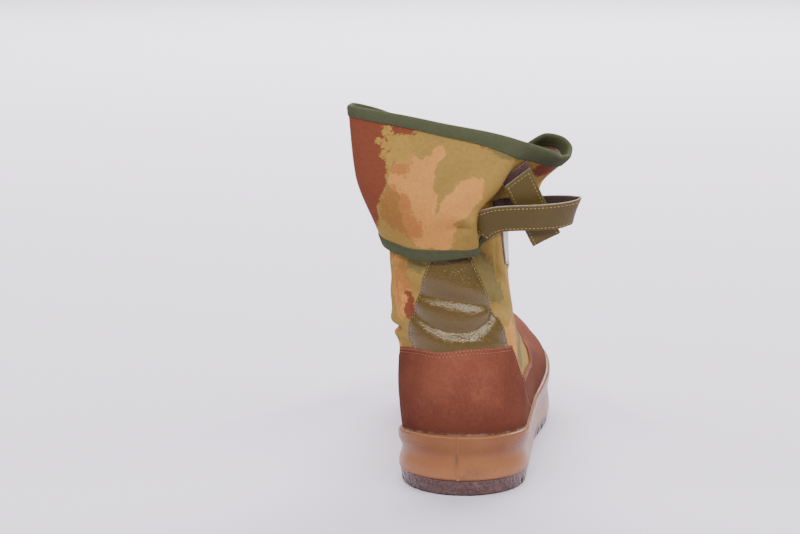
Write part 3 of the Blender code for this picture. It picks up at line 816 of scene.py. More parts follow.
@dataclass(frozen=True)
class MouldedRubber(Finish):
    """Caramel rubber cast in a polished mould: broad gloss, faint clouding, a rubbed smudge and nicks."""

    dark: str = "6E4229"
    pale: str = "8D5D3E"
    scuff: str = "5A4136"
    nick: str = "3A2A24"
    cloud: float = 30.0
    fine: float = 3.0
    # Metres above the floor between which the rubber gets paler
    pale_foot: tuple[float, float] = (0.028, 0.012)

    def paint(self, tree: Tree, shader: bpy.types.Node) -> None:
        """Clouds the colour, pales the foot, and adds the smudge and the small dark nicks."""
        add = partial(add_node, tree)
        spot = add("ShaderNodeTexCoord").outputs["Object"]
        cloud = add("ShaderNodeTexNoise", sized(spot, self.cloud, Detail=5.0, Roughness=0.6)).outputs["Fac"]
        fine = add("ShaderNodeTexNoise", sized(spot, self.fine, Detail=4.0, Roughness=0.65)).outputs["Fac"]
        share = add("ShaderNodeMapRange", (cloud, 0.3, 0.65)).outputs[0]
        height = add("ShaderNodeSeparateXYZ", (spot,)).outputs["Z"]
        low = add("ShaderNodeMapRange", (height, *self.pale_foot, 0.0, 0.85)).outputs[0]
        broken = add("ShaderNodeMapRange", (fine, 0.35, 0.65, 0.2, 1.0)).outputs[0]
        coats = [(share, self.color), (low, self.pale)]
        for label, shade, strength in (("smudge", self.scuff, 0.75), ("nick", self.nick, 0.9)):
            mark = add("ShaderNodeAttribute", attribute_name=label).outputs["Fac"]
            for factor in (broken, strength):
                mark = add("ShaderNodeMath", (mark, factor), operation="MULTIPLY").outputs[0]
            coats.append((mark, shade))
        tree.links.new(self.layer(tree, self.dark, coats), shader.inputs["Base Color"])
        dull = (self.roughness - 0.06, self.roughness + 0.1)
        gloss = add("ShaderNodeMapRange", (fine, 0.3, 0.7, *dull)).outputs[0]
        tree.links.new(gloss, shader.inputs["Roughness"])
        self.bump(tree, shader, ((fine, 0.10), (cloud, 0.5)))


@dataclass(frozen=True)
class PebbledRubber(Finish):
    """Hard tread rubber with a pebbled edge: dark, with small bright glints on each pebble."""

    dust: str = "765C53"
    dirt: float = 5.0
    # Real pebbles are about 1.5 mm wide; they are drawn coarser, so that they show
    pebble: float = 2.5

    def paint(self, tree: Tree, shader: bpy.types.Node) -> None:
        """Raises the pebbles and dusts the rubber unevenly."""
        add = partial(add_node, tree)
        spot = add("ShaderNodeTexCoord").outputs["Object"]
        round_cells = sized(spot, self.pebble, Smoothness=0.3)
        cells = add("ShaderNodeTexVoronoi", round_cells, feature="SMOOTH_F1").outputs["Distance"]
        dirt = add("ShaderNodeTexNoise", sized(spot, self.dirt, Detail=5.0, Roughness=0.65)).outputs["Fac"]
        share = add("ShaderNodeMapRange", (dirt, 0.45, 0.72, 0.0, 0.35)).outputs[0]
        tree.links.new(self.layer(tree, self.color, ((share, self.dust),)), shader.inputs["Base Color"])
        self.bump(tree, shader, ((cells, -1.5), (dirt, 0.25)))


@dataclass(frozen=True)
class WovenTape(Finish):
    """Ribbed cotton tape: matt, with fine cross ribs and a slightly faded fold."""

    dark: str = "3E422C"
    cloud: float = 4.0
    # Real ribs are about 0.7 mm apart; they are drawn coarser, so that they show
    rib: float = 1.3

    def paint(self, tree: Tree, shader: bpy.types.Node) -> None:
        """Ribs the tape across its length and fades it unevenly."""
        add = partial(add_node, tree)
        spot = add("ShaderNodeTexCoord").outputs["Object"]
        cloud = add("ShaderNodeTexNoise", sized(spot, self.cloud, Detail=5.0, Roughness=0.65)).outputs["Fac"]
        cloth = add("ShaderNodeUVMap", uv_map="cloth").outputs["UV"]
        bands = {"Vector": cloth, "Scale": wave_scale(self.rib), "Distortion": 0.8}
        ribs = add("ShaderNodeTexWave", bands, bands_direction="X").outputs["Fac"]
        share = add("ShaderNodeMapRange", (cloud, 0.3, 0.7)).outputs[0]
        tree.links.new(self.layer(tree, self.dark, ((share, self.color),)), shader.inputs["Base Color"])
        self.bump(tree, shader, ((ribs, 0.10), (cloud, 0.25)))


@dataclass(frozen=True)
class Napped(Finish):
    """Thread, felt, pile or brushed cloth: no gloss at all, only a soft speckle of fibres."""

    dark: str = "2E1C18"
    # Real fibres are far finer than a millimetre; tufts of them are drawn, so that they show
    fibre: float = 0.9
    depth: float = 0.5

    def paint(self, tree: Tree, shader: bpy.types.Node) -> None:
        """Speckles the fibres."""
        add = partial(add_node, tree)
        spot = add("ShaderNodeTexCoord").outputs["Object"]
        fuzz = add("ShaderNodeTexNoise", sized(spot, self.fibre, Detail=4.0, Roughness=0.7)).outputs["Fac"]
        share = add("ShaderNodeMapRange", (fuzz, 0.32, 0.68)).outputs[0]
        tree.links.new(self.layer(tree, self.dark, ((share, self.color),)), shader.inputs["Base Color"])
        self.bump(tree, shader, ((fuzz, self.depth),))


CANVAS = PrintedCanvas("printed_cotton_canvas", "917337", 0.95, specular=0.1)
LINING = Napped("brushed_cotton_lining", "8F7A70", 0.95, dark="6E5C55", fibre=1.2, depth=0.15)
SUEDE = Suede("brushed_suede", "704030", 0.98, sheen=0.0, specular=0.06)
LEATHERETTE = Leatherette("coated_leatherette", "503C1A", 0.19, specular=0.45, tint="FFF4E4")
STRAP_FACE = Leatherette("strap_leatherette", "504321", 0.44, specular=0.16)
CUT_EDGE = Napped("pale_cut_edge", "9D8C8A", 0.8, dark="74625F", fibre=0.7, depth=0.1)
PILE = Napped("plum_brown_pile", "52352C", 0.98, sheen=0.2)
CUP_RUBBER = MouldedRubber("moulded_caramel_rubber", "784D30", 0.30, specular=0.20)
TREAD_RUBBER = PebbledRubber("pebbled_tread_rubber", "4A322F", 0.22)
TAPE = WovenTape("woven_binding_tape", "424533", 0.92, specular=0.1)
GOLD_THREAD = Napped("gold_cotton_thread", "A88C50", 0.8, dark="7A6234", fibre=0.6, depth=0.1)
BEIGE_THREAD = Napped("beige_cotton_thread", "A8785E", 0.85, dark="805844", fibre=0.6, depth=0.1)
OLIVE_THREAD = Napped("olive_cotton_thread", "9A8454", 0.85, dark="6E5C38", fibre=0.6, depth=0.1)
GREEN_THREAD = Napped("green_cotton_thread", "3A3C2C", 0.8, dark="2A2C20", fibre=0.6, depth=0.1)
# Baked lacquer on stamped metal: an even colour with a soft gloss
LACQUER = Finish("rust_lacquered_eyelet", "6E2F24", 0.4)
FELT = Napped("insole_felt", "8A7864", 0.97, dark="6C5C4C", fibre=1.4, depth=0.3)
# Plain painted board: pale and almost without gloss
PALE_FLOOR = Finish("pale_floor", "C0B9C6", 0.85, specular=0.2)


# The form of the boot


class Ring(NamedTuple):
    """One level of the upper: its ends, heights, lean and half widths."""

    level: float
    back: float
    front: float
    z_back: float
    z_out: float
    z_in: float
    z_mid: float
    z_fore: float
    z_front: float
    lean: float
    heel_out: float
    heel_in: float
    waist_out: float
    waist_in: float
    fore_out: float
    fore_in: float


class Crease(NamedTuple):
    """A soft trough or ridge of a sheet, by its own two measures."""

    first: float
    second: float
    first_half: float
    second_half: float
    turn: float
    height: float
    lean: float = 0.0
    bend: float = 0.0


def relief(creases: Sequence[Crease], first: Array, second: Array) -> Array:
    """Height of all creases together.

    Args:
        creases: The creases.
        first: First measure of each point.
        second: Second measure of each point.

    Returns:
        Height in millimetres.
    """
    total = np.zeros_like(first)
    for crease in creases:
        along = (first - crease.first) / crease.first_half
        over = (second - crease.second) / crease.second_half
        middle = crease.turn * along + crease.bend * along**2
        total += crease.height * hump(along - crease.lean * over) * hump(over - middle)
    return total


UPPER_RINGS = (
    Ring(0.00, 7.0, 285.0, 24.0, 23.0, 23.0, 21.0, 21.0, 31.0, 0.0, 35.0, 35.0, 35.0, 28.0, 46.0, 47.0),
    Ring(0.12, 4.4, 291.5, 39.0, 35.5, 32.5, 33.5, 40.0, 49.0, 0.0, 38.6, 38.6, 39.4, 32.5, 48.6, 50.0),
    Ring(0.30, 2.6, 290.0, 62.0, 58.0, 57.0, 55.0, 51.5, 61.0, -1.0, 38.8, 39.8, 38.5, 33.5, 42.0, 44.0),
    Ring(0.50, 6.0, 272.0, 95.0, 87.0, 86.0, 77.0, 62.0, 71.5, -2.0, 35.9, 41.0, 34.0, 34.0, 32.5, 34.5),
    Ring(0.58, 7.2, 250.0, 102.0, 97.0, 96.0, 87.0, 69.0, 76.0, -2.6, 35.6, 44.2, 32.5, 37.0, 28.8, 30.5),
    Ring(0.75, 9.0, 212.0, 122.0, 119.0, 117.0, 109.0, 86.0, 83.5, -4.4, 36.3, 44.2, 34.5, 40.0, 25.0, 26.5),
    Ring(1.00, 10.5, 160.0, 158.0, 167.0, 163.0, 162.0, 127.0, 99.5, -8.0, 35.0, 43.0, 40.0, 40.5, 25.0, 26.0),
)

# Soft folds of the upper by span and level: panel, then the pucker, the sides and the slack outer collar
UPPER_CREASES = (
    Crease(0.02, 0.765, 0.34, 0.036, -2.27, -2.15),
    Crease(0.00, 0.850, 0.12, 0.045, -0.8, 1.0),
    Crease(0.012, 0.605, 0.26, 0.040, 0.0, -2.3, 0.0, 9.0),
    Crease(-0.245, 0.655, 0.060, 0.035, 0.0, 1.4),
    Crease(-0.245, 0.598, 0.058, 0.017, 0.0, -5.0),
    Crease(-0.185, 0.750, 0.020, 0.070, 0.0, 1.3),
    Crease(0.175, 0.790, 0.018, 0.120, 0.0, 1.2, -1.65),
    Crease(-0.24, 0.84, 0.05, 0.06, 0.6, 1.0),
    Crease(0.22, 0.78, 0.03, 0.16, 0.0, -1.0),
    Crease(0.20, 0.60, 0.05, 0.05, 0.0, 0.9),
    Crease(0.33, 0.62, 0.05, 0.09, 0.5, -1.0),
    Crease(-0.36, 0.62, 0.05, 0.09, -0.5, -1.0),
    Crease(0.58, 0.62, 0.07, 0.035, 0.5, -1.1),
    Crease(-0.58, 0.62, 0.07, 0.035, 0.5, -1.1),
    Crease(0.66, 0.55, 0.08, 0.035, 0.6, 0.8),
    Crease(-0.66, 0.55, 0.08, 0.035, 0.6, 0.8),
    Crease(0.46, 1.00, 0.30, 0.28, 0.0, -9.0),
)


@dataclass(frozen=True)
class Last:
    """The form that every piece of the upper follows: spans run round it, levels from sole to collar."""

    heel_round: float = 43.0
    heel_at: float = 0.16
    side_at: float = 0.22
    waist_at: float = 0.42
    middle_at: float = 0.45
    fore_at: float = 0.70
    toe_power: float = 2.2
    inflare_by: float = 8.0
    inflare_from: float = 110.0
    inflare_to: float = 300.0
    probe: float = 0.003

    def inflare(self, y: Array) -> Array:
        """How far the middle line bends to the inner side at each place along the foot."""
        u = np.clip((y - self.inflare_from) / (self.inflare_to - self.inflare_from), 0.0, 1.0)
        return -self.inflare_by * u * u * (3.0 - 2.0 * u)

    def station(self, span: Array) -> Array:
        """Place along the foot, 0 at the heel and 1 at the toe, for a span of -1 to 1."""
        return 0.5 - 0.5 * np.cos(np.pi * span)

    def outline(
        self, span: Array, back: Any, front: Any, heel: Any, waist: Any, fore: Any
    ) -> tuple[Array, Array]:
        """A foot-shaped ring seen from above.

        Args:
            span: Places round the ring.
            back: Its heel end.
            front: Its toe end.
            heel: Outer and inner half width at the heel.
            waist: The same at the waist.
            fore: The same at the ball.

        Returns:
            x and y of the ring.
        """
        span = np.atleast_1d(span)
        side = np.where(span >= 0.0, 1.0, -1.0)
        at = self.station(span)
        length = front - back
        y = back + at * length
        heel, waist, fore = (np.where(side > 0, out, inn) + 0.0 * at for out, inn in (heel, waist, fore))
        stops = (0.0, self.heel_at, self.waist_at, self.fore_at, 1.0)
        half = smooth(stops, np.stack([heel, heel, waist, fore, fore]), at)
        behind = np.clip(1.0 - at * length / self.heel_round, 0.0, 1.0)
        ahead = np.clip((at - self.fore_at) / (1.0 - self.fore_at), 0.0, 1.0)
        half = half * np.sqrt(1.0 - behind**2) * (1.0 - ahead**self.toe_power) ** (1.0 / self.toe_power)
        return self.inflare(y) + side * half, y

    def surface(self, span: Array, level: Array) -> Array:
        """Points on the plain outer face of the upper.

        Args:
            span: Places round the foot.
            level: Levels from the sole to the collar.

        Returns:
            Points in millimetres.
        """
        span = (np.atleast_1d(span) + 1.0) % 2.0 - 1.0
        level = np.clip(np.atleast_1d(level) + 0.0 * span, 0.0, 1.0)
        levels = [ring.level for ring in UPPER_RINGS]
        row = Ring(*(smooth(levels, column, level) for column in zip(*UPPER_RINGS)))
        at = self.station(span)
        x, y = self.outline(
            span,
            row.back,
            row.front,
            (row.heel_out, row.heel_in),
            (row.waist_out, row.waist_in),
            (row.fore_out, row.fore_in),
        )
        side = np.where(span >= 0.0, row.z_out, row.z_in)
        heights = np.stack([row.z_back, side, row.z_mid, row.z_fore, row.z_front])
        z = smooth((0.0, self.side_at, self.middle_at, self.fore_at, 1.0), heights, at)
        return np.stack([x + row.lean * (1.0 - at**2), y, z], axis=-1)

    def skin(self, span: Array, level: Array, offset: Any = 0.0, creased: bool = True) -> Array:
        """Points at a distance outside the upper, with its soft folds.

        Args:
            span: Places round the foot, in any shape.
            level: Levels in the same shape.
            offset: Distance outside the face, negative for inside.
            creased: Whether the soft folds count.

        Returns:
            Points with a last axis of three.
        """
        span, level = np.broadcast_arrays(np.asarray(span, float), np.asarray(level, float))
        s, v = span.ravel(), level.ravel()
        near = self.probe
        across = self.surface(s + near, v) - self.surface(s - near, v)
        upward = self.surface(s, v + near) - self.surface(s, v - near)
        normal = unit(np.cross(across, upward))
        rise = np.broadcast_to(np.asarray(offset, float), span.shape).ravel()
        if creased:
            rise = rise + relief(UPPER_CREASES, (s + 1.0) % 2.0 - 1.0, v)
        return (self.surface(s, v) + normal * rise[:, None]).reshape(*span.shape, 3)


LAST = Last()


class Blob(NamedTuple):
    """A blotch of the print: middle, half sizes and lean in degrees in the x-z plane."""

    x: float
    y: float
    z: float
    half_x: float
    half_y: float
    half_z: float
    lean: float


PRINT = {
    "sand": (
        Blob(-29.0, -5.0, 203.0, 14.5, 30.0, 14.0, 0.0),
        Blob(-19.0, -7.0, 212.0, 4.5, 20.0, 13.0, -43.0),
        Blob(-25.0, -4.0, 184.0, 12.0, 30.0, 22.0, 0.0),
        Blob(-16.0, 0.0, 166.0, 13.0, 25.0, 9.0, 0.0),
        Blob(1.0, -5.0, 190.0, 9.0, 20.0, 20.0, -38.0),
        Blob(-10.0, -5.0, 174.0, 8.0, 20.0, 9.0, 0.0),
        Blob(-47.0, 10.0, 146.0, 9.0, 24.0, 8.0, 10.0),
        Blob(-41.0, 14.0, 128.0, 8.0, 26.0, 18.0, 10.0),
        Blob(34.0, 30.0, 96.0, 7.0, 16.0, 17.0, 0.0),
        Blob(-44.0, 54.0, 86.0, 20.0, 24.0, 9.0, 0.0),
        Blob(-44.0, 74.0, 96.0, 20.0, 12.0, 13.0, 0.0),
        Blob(-42.0, 96.0, 84.0, 20.0, 16.0, 6.0, 0.0),
        Blob(-44.0, 46.0, 100.0, 20.0, 7.0, 9.0, 0.0),
        Blob(40.0, 78.0, 122.0, 20.0, 20.0, 8.0, 0.0),
        Blob(40.0, 90.0, 132.0, 20.0, 9.0, 15.0, 0.0),
        Blob(38.0, 68.0, 132.0, 20.0, 7.0, 9.0, 0.0),
        Blob(38.0, 112.0, 112.0, 20.0, 14.0, 6.0, 0.0),
        Blob(-52.0, 64.0, 214.0, 14.0, 18.0, 20.0, 0.0),
        Blob(52.0, 52.0, 198.0, 14.0, 14.0, 12.0, 0.0),
        Blob(-14.0, 106.0, 136.0, 8.0, 24.0, 11.0, 20.0),
        Blob(-2.0, 118.0, 121.0, 13.0, 24.0, 7.0, -15.0),
        Blob(5.0, 106.0, 134.0, 4.5, 24.0, 9.0, -20.0),
    ),
    "wash_and_shade": (
        Blob(-40.0, 0.0, 183.0, 11.0, 25.0, 15.0, 0.0),
        Blob(-33.0, 0.0, 173.0, 12.0, 25.0, 8.0, -20.0),
        Blob(-36.0, -4.0, 209.0, 7.0, 12.0, 5.0, 0.0),
        # Painted shade: this wash blotch darkens the inner side of the shaft under the cuff
        Blob(-48.0, 10.0, 132.0, 16.0, 24.0, 26.0, 0.0),
    ),
    "olive": (
        Blob(27.0, -4.0, 221.0, 11.0, 14.0, 4.5, -25.0),
        Blob(16.0, -5.0, 226.0, 5.0, 10.0, 3.0, -15.0),
        Blob(19.0, 14.0, 134.0, 6.5, 24.0, 25.0, 24.0),
        Blob(42.0, 64.0, 80.0, 16.0, 22.0, 10.0, 0.0),
        Blob(40.0, 84.0, 90.0, 16.0, 11.0, 11.0, 0.0),
        Blob(40.0, 100.0, 84.0, 16.0, 14.0, 6.0, 0.0),
        Blob(-30.0, 10.0, 146.0, 7.0, 14.0, 6.0, -20.0),
        Blob(-48.0, 84.0, 112.0, 18.0, 22.0, 8.0, 0.0),
        Blob(-48.0, 98.0, 122.0, 18.0, 9.0, 15.0, 0.0),
        Blob(-48.0, 68.0, 122.0, 18.0, 8.0, 12.0, 0.0),
        Blob(-46.0, 116.0, 106.0, 18.0, 12.0, 6.0, 0.0),
        Blob(-15.0, 80.0, 159.0, 8.0, 20.0, 11.0, 15.0),
        Blob(-1.0, 82.0, 166.0, 9.0, 20.0, 7.0, -20.0),
        Blob(6.0, 88.0, 154.0, 4.0, 20.0, 9.0, 0.0),
    ),
    "rust": (
        Blob(-62.0, 4.0, 232.0, 26.0, 40.0, 18.0, 0.0),
        Blob(-65.0, 6.0, 206.0, 20.0, 40.0, 28.0, 0.0),
        Blob(-67.0, 8.0, 180.0, 15.0, 40.0, 26.0, 0.0),
        Blob(-32.0, -5.0, 233.0, 5.0, 8.0, 3.0, 0.0),
        Blob(-33.6, 12.0, 117.0, 3.6, 30.0, 7.0, 0.0),
        Blob(-35.0, 12.0, 126.0, 2.6, 30.0, 2.6, 0.0),
        Blob(51.0, 16.0, 206.0, 7.0, 12.0, 6.0, 30.0),
        Blob(-50.0, 70.0, 150.0, 18.0, 16.0, 8.0, 0.0),
        Blob(-50.0, 58.0, 138.0, 18.0, 7.0, 13.0, 0.0),
        Blob(-48.0, 56.0, 126.0, 18.0, 8.0, 5.0, 0.0),
        Blob(34.0, 86.0, 148.0, 14.0, 13.0, 6.0, 0.0),
        Blob(34.0, 98.0, 140.0, 14.0, 6.0, 11.0, 0.0),
        Blob(-30.0, 62.0, 226.0, 14.0, 16.0, 12.0, 0.0),
    ),
    "ochre": (
        Blob(-35.0, -4.0, 221.0, 7.0, 12.0, 9.0, 0.0),
        Blob(-40.0, -3.0, 227.0, 5.5, 8.0, 4.0, -30.0),
        Blob(-44.0, -3.0, 223.0, 4.0, 8.0, 2.6, 0.0),
        Blob(-44.2, -3.0, 233.0, 3.4, 6.0, 2.4, 20.0),
        Blob(-49.9, -1.0, 226.0, 3.4, 6.0, 2.2, -15.0),
        Blob(-46.8, -2.0, 218.9, 1.6, 4.0, 2.8, 0.0),
        Blob(-40.0, -3.0, 216.6, 4.0, 8.0, 2.6, 0.0),
        Blob(-42.6, -3.0, 211.6, 1.4, 4.0, 2.2, 0.0),
    ),
}


FAR_OUTSIDE = -60.0


def print_fields(points: Array) -> dict[str, Array]:
    """How deep each point lies inside the blotches of each colour.

    Args:
        points: Points in millimetres.

    Returns:
        Depth in millimetres by colour, negative outside.
    """
    fields = {}
    for label, blobs in PRINT.items():
        depth = np.full(len(points), FAR_OUTSIDE)
        for blob in blobs:
            turn = math.radians(blob.lean)
            x, y, z = (points - np.array(blob[:3])).T
            across = x * math.cos(turn) + z * math.sin(turn)
            upward = z * math.cos(turn) - x * math.sin(turn)
            sides = (across / blob.half_x, y / blob.half_y, upward / blob.half_z)
            away = np.sqrt(sum(side**2 for side in sides))
            depth = np.maximum(depth, (1.0 - away) * min(blob.half_x, blob.half_z))
        fields[label] = depth
    return fields


# Stitches and eyelets


@dataclass
class Stitching:
    """Rows of stitches of one thread, gathered and laid by one Geometry Nodes tree."""

    name: str
    thread: Finish
    pitch: float
    length: float
    thick: float
    sway: float = 0.16
    seed: int = 7
    bead_sides: int = 8
    bead_rings: int = 6
    rows: list[tuple[Array, Array]] = field(default_factory=list)

    def sew(self, line: tuple[Array, Array], lift: float = 0.12) -> None:
        """Adds a row.

        Args:
            line: Points of the row and the normal at each.
            lift: Height of the thread's middle above the surface.
        """
        points, normals = line
        self.rows.append((points + normals * lift, normals))

    def tree(self) -> Tree:
        """Builds the tree that lays a stitch at each step along every row."""
        sizes = {"Pitch": "Float", "Length": "Float", "Thickness": "Float"}
        tree = new_tree(self.name, {**sizes, "Seed": "Int", "Thread": "Material"})
        add = partial(add_node, tree)
        given = add("NodeGroupInput").outputs
        curve = add("GeometryNodeMeshToCurve", {"Mesh": given["Geometry"]}).outputs["Curve"]
        pace = {"Curve": curve, "Length": given["Pitch"]}
        steps = add("GeometryNodeResampleCurve", pace, mode="LENGTH").outputs["Curve"]
        named = {"Name": "facing"}
        facing = add("GeometryNodeInputNamedAttribute", named, data_type="FLOAT_VECTOR").outputs["Attribute"]
        tangent = add("GeometryNodeInputTangent").outputs["Tangent"]
        limits = {0: (-self.sway,) * 3, 1: (self.sway,) * 3, "Seed": given["Seed"]}
        jitter = add("FunctionNodeRandomValue", limits, data_type="FLOAT_VECTOR").outputs[0]
        along = add("ShaderNodeVectorMath", (tangent, jitter), operation="ADD").outputs[0]
        axes = {"Primary Axis": along, "Secondary Axis": facing}
        turn = add("FunctionNodeAxesToRotation", axes, primary_axis="X", secondary_axis="Z").outputs["Rotation"]
        ball = {"Segments": self.bead_sides, "Rings": self.bead_rings, "Radius": 0.5}
        bead = add("GeometryNodeMeshUVSphere", ball).outputs["Mesh"]
        thick = given["Thickness"]
        size = add("ShaderNodeCombineXYZ", (given["Length"], thick, thick)).outputs[0]
        copies = {"Points": steps, "Instance": bead, "Rotation": turn, "Scale": size}
        laid = add("GeometryNodeInstanceOnPoints", copies).outputs["Instances"]
        close_tree(tree, laid, given["Thread"])
        return tree

    def build(self, slot: Slot) -> Thing:
        """Lays every row.

        Args:
            slot: Material slot of the piece.

        Returns:
            The finished piece.
        """
        points = np.concatenate([row for row, _ in self.rows])
        normals = np.concatenate([facing for _, facing in self.rows])
        edges = []
        first = 0
        for row, _ in self.rows:
            edges += [(first + i, first + i + 1) for i in range(len(row) - 1)]
            first += len(row)
        values = {
            "Pitch": self.pitch * MM,
            "Length": self.length * MM,
            "Thickness": self.thick * MM,
            "Seed": self.seed,
            "Thread": self.thread.material(),
        }
        return settle(grow(self.name, points, normals, edges, self.tree(), values), slot)


@dataclass(frozen=True)
class Eyelets:
    """Flanged eyelets along both facings, set by a Geometry Nodes tree."""

    spans: tuple[float, ...] = (0.540, 0.585, 0.630, 0.672, 0.712)
    level: float = 0.953
    flange: float = 3.1
    bead: float = 0.85
    bead_flat: float = 0.6
    barrel: float = 2.3
    depth: float = 5.4
    hem: float = 0.4
    lift: float = 2.1
    sides: int = 32
    bead_sides: int = 12
    hem_sides: int = 8

    def tree(self) -> Tree:
        """Builds the tree that sets a flange and a barrel at each place."""
        sizes = ("Flange", "Bead", "Barrel", "Depth", "Hem")
        tree = new_tree("eyelets", {**dict.fromkeys(sizes, "Float"), "Lacquer": "Material"})
        add = partial(add_node, tree)
        given = add("NodeGroupInput").outputs
        circles = {}
        rounds = {"Flange": self.sides, "Bead": self.bead_sides, "Barrel": self.sides, "Hem": self.hem_sides}
        for label, sides in rounds.items():
            round_line = {"Resolution": sides, "Radius": given[label]}
            circles[label] = add("GeometryNodeCurvePrimitiveCircle", round_line).outputs["Curve"]
        tall = add("ShaderNodeCombineXYZ", {"Z": given["Depth"]}).outputs[0]
        down = add("ShaderNodeVectorMath", {0: tall, "Scale": -1.0}, operation="SCALE").outputs[0]
        line = add("GeometryNodeCurvePrimitiveLine", {"Start": (0.0, 0.0, 0.0), "End": down}).outputs["Curve"]
        swept = []
        for path, profile in (
            (circles["Flange"], circles["Bead"]),
            (line, circles["Barrel"]),
            (circles["Barrel"], circles["Hem"]),
        ):
            curves = {"Curve": path, "Profile Curve": profile}
            swept.append(add("GeometryNodeCurveToMesh", curves).outputs["Mesh"])
        torus, tube, hem = swept
        flatter = {"Geometry": torus, "Scale": (1.0, 1.0, self.bead_flat)}
        rolled = add("GeometryNodeTransform", flatter).outputs["Geometry"]
        foot = add("GeometryNodeTransform", {"Geometry": hem, "Translation": down}).outputs["Geometry"]
        join = add("GeometryNodeJoinGeometry")
        for part in (rolled, tube, foot):
            tree.links.new(part, join.inputs["Geometry"])
        named = {"Name": "facing"}
        facing = add("GeometryNodeInputNamedAttribute", named, data_type="FLOAT_VECTOR").outputs["Attribute"]
        axes = {"Primary Axis": facing, "Secondary Axis": (0.0, 0.0, 1.0)}
        turn = add("FunctionNodeAxesToRotation", axes, primary_axis="Z", secondary_axis="Y").outputs["Rotation"]
        places = add("GeometryNodeMeshToPoints", {"Mesh": given["Geometry"]}).outputs["Points"]
        copies = {"Points": places, "Instance": join.outputs[0], "Rotation": turn}
        laid = add("GeometryNodeInstanceOnPoints", copies).outputs["Instances"]
        close_tree(tree, laid, given["Lacquer"])
        return tree

    def places(self) -> tuple[Array, Array]:
        """Middle and outward direction of every eyelet, outer side first."""
        spans = np.array([side * span for side in (1.0, -1.0) for span in self.spans])
        low = LAST.skin(spans, self.level, self.lift)
        return low, unit(LAST.skin(spans, self.level, self.lift + 1.0) - low)

    def build(self) -> Thing:
        """Sets the eyelets and returns them as one piece."""
        points, normals = self.places()
        values = {
            "Flange": self.flange * MM,
            "Bead": self.bead * MM,
            "Barrel": self.barrel * MM,
            "Depth": self.depth * MM,
            "Hem": self.hem * MM,
            "Lacquer": LACQUER.material(),
        }
        thing = grow("eyelets", points, normals, [], self.tree(), values)
        nodes = [f"eyelet_{side}_{i + 1}" for side in ("lateral", "medial") for i in range(len(self.spans))]
        return settle(thing, Slot.EYELET, *nodes)


# Sole


class SoleStop(NamedTuple):
    """Heights of the tread and of its seam at a place along the foot."""

    at: float
    tread: float
    seam: float


class SoleEdge(NamedTuple):
    """A ring of the sole: its ends and half widths."""

    back: float
    front: float
    heel: float
    waist_out: float
    waist_in: float
    fore_out: float
    fore_in: float


class Mark(NamedTuple):
    """A rubbed or nicked place: its middle, half width and half height."""

    x: float
    y: float
    z: float
    wide: float
    tall: float


class Tear(NamedTuple):
    """A place where the flash line is thicker: how much, its height above the floor and its half length."""

    more: float
    z: float
    half: float


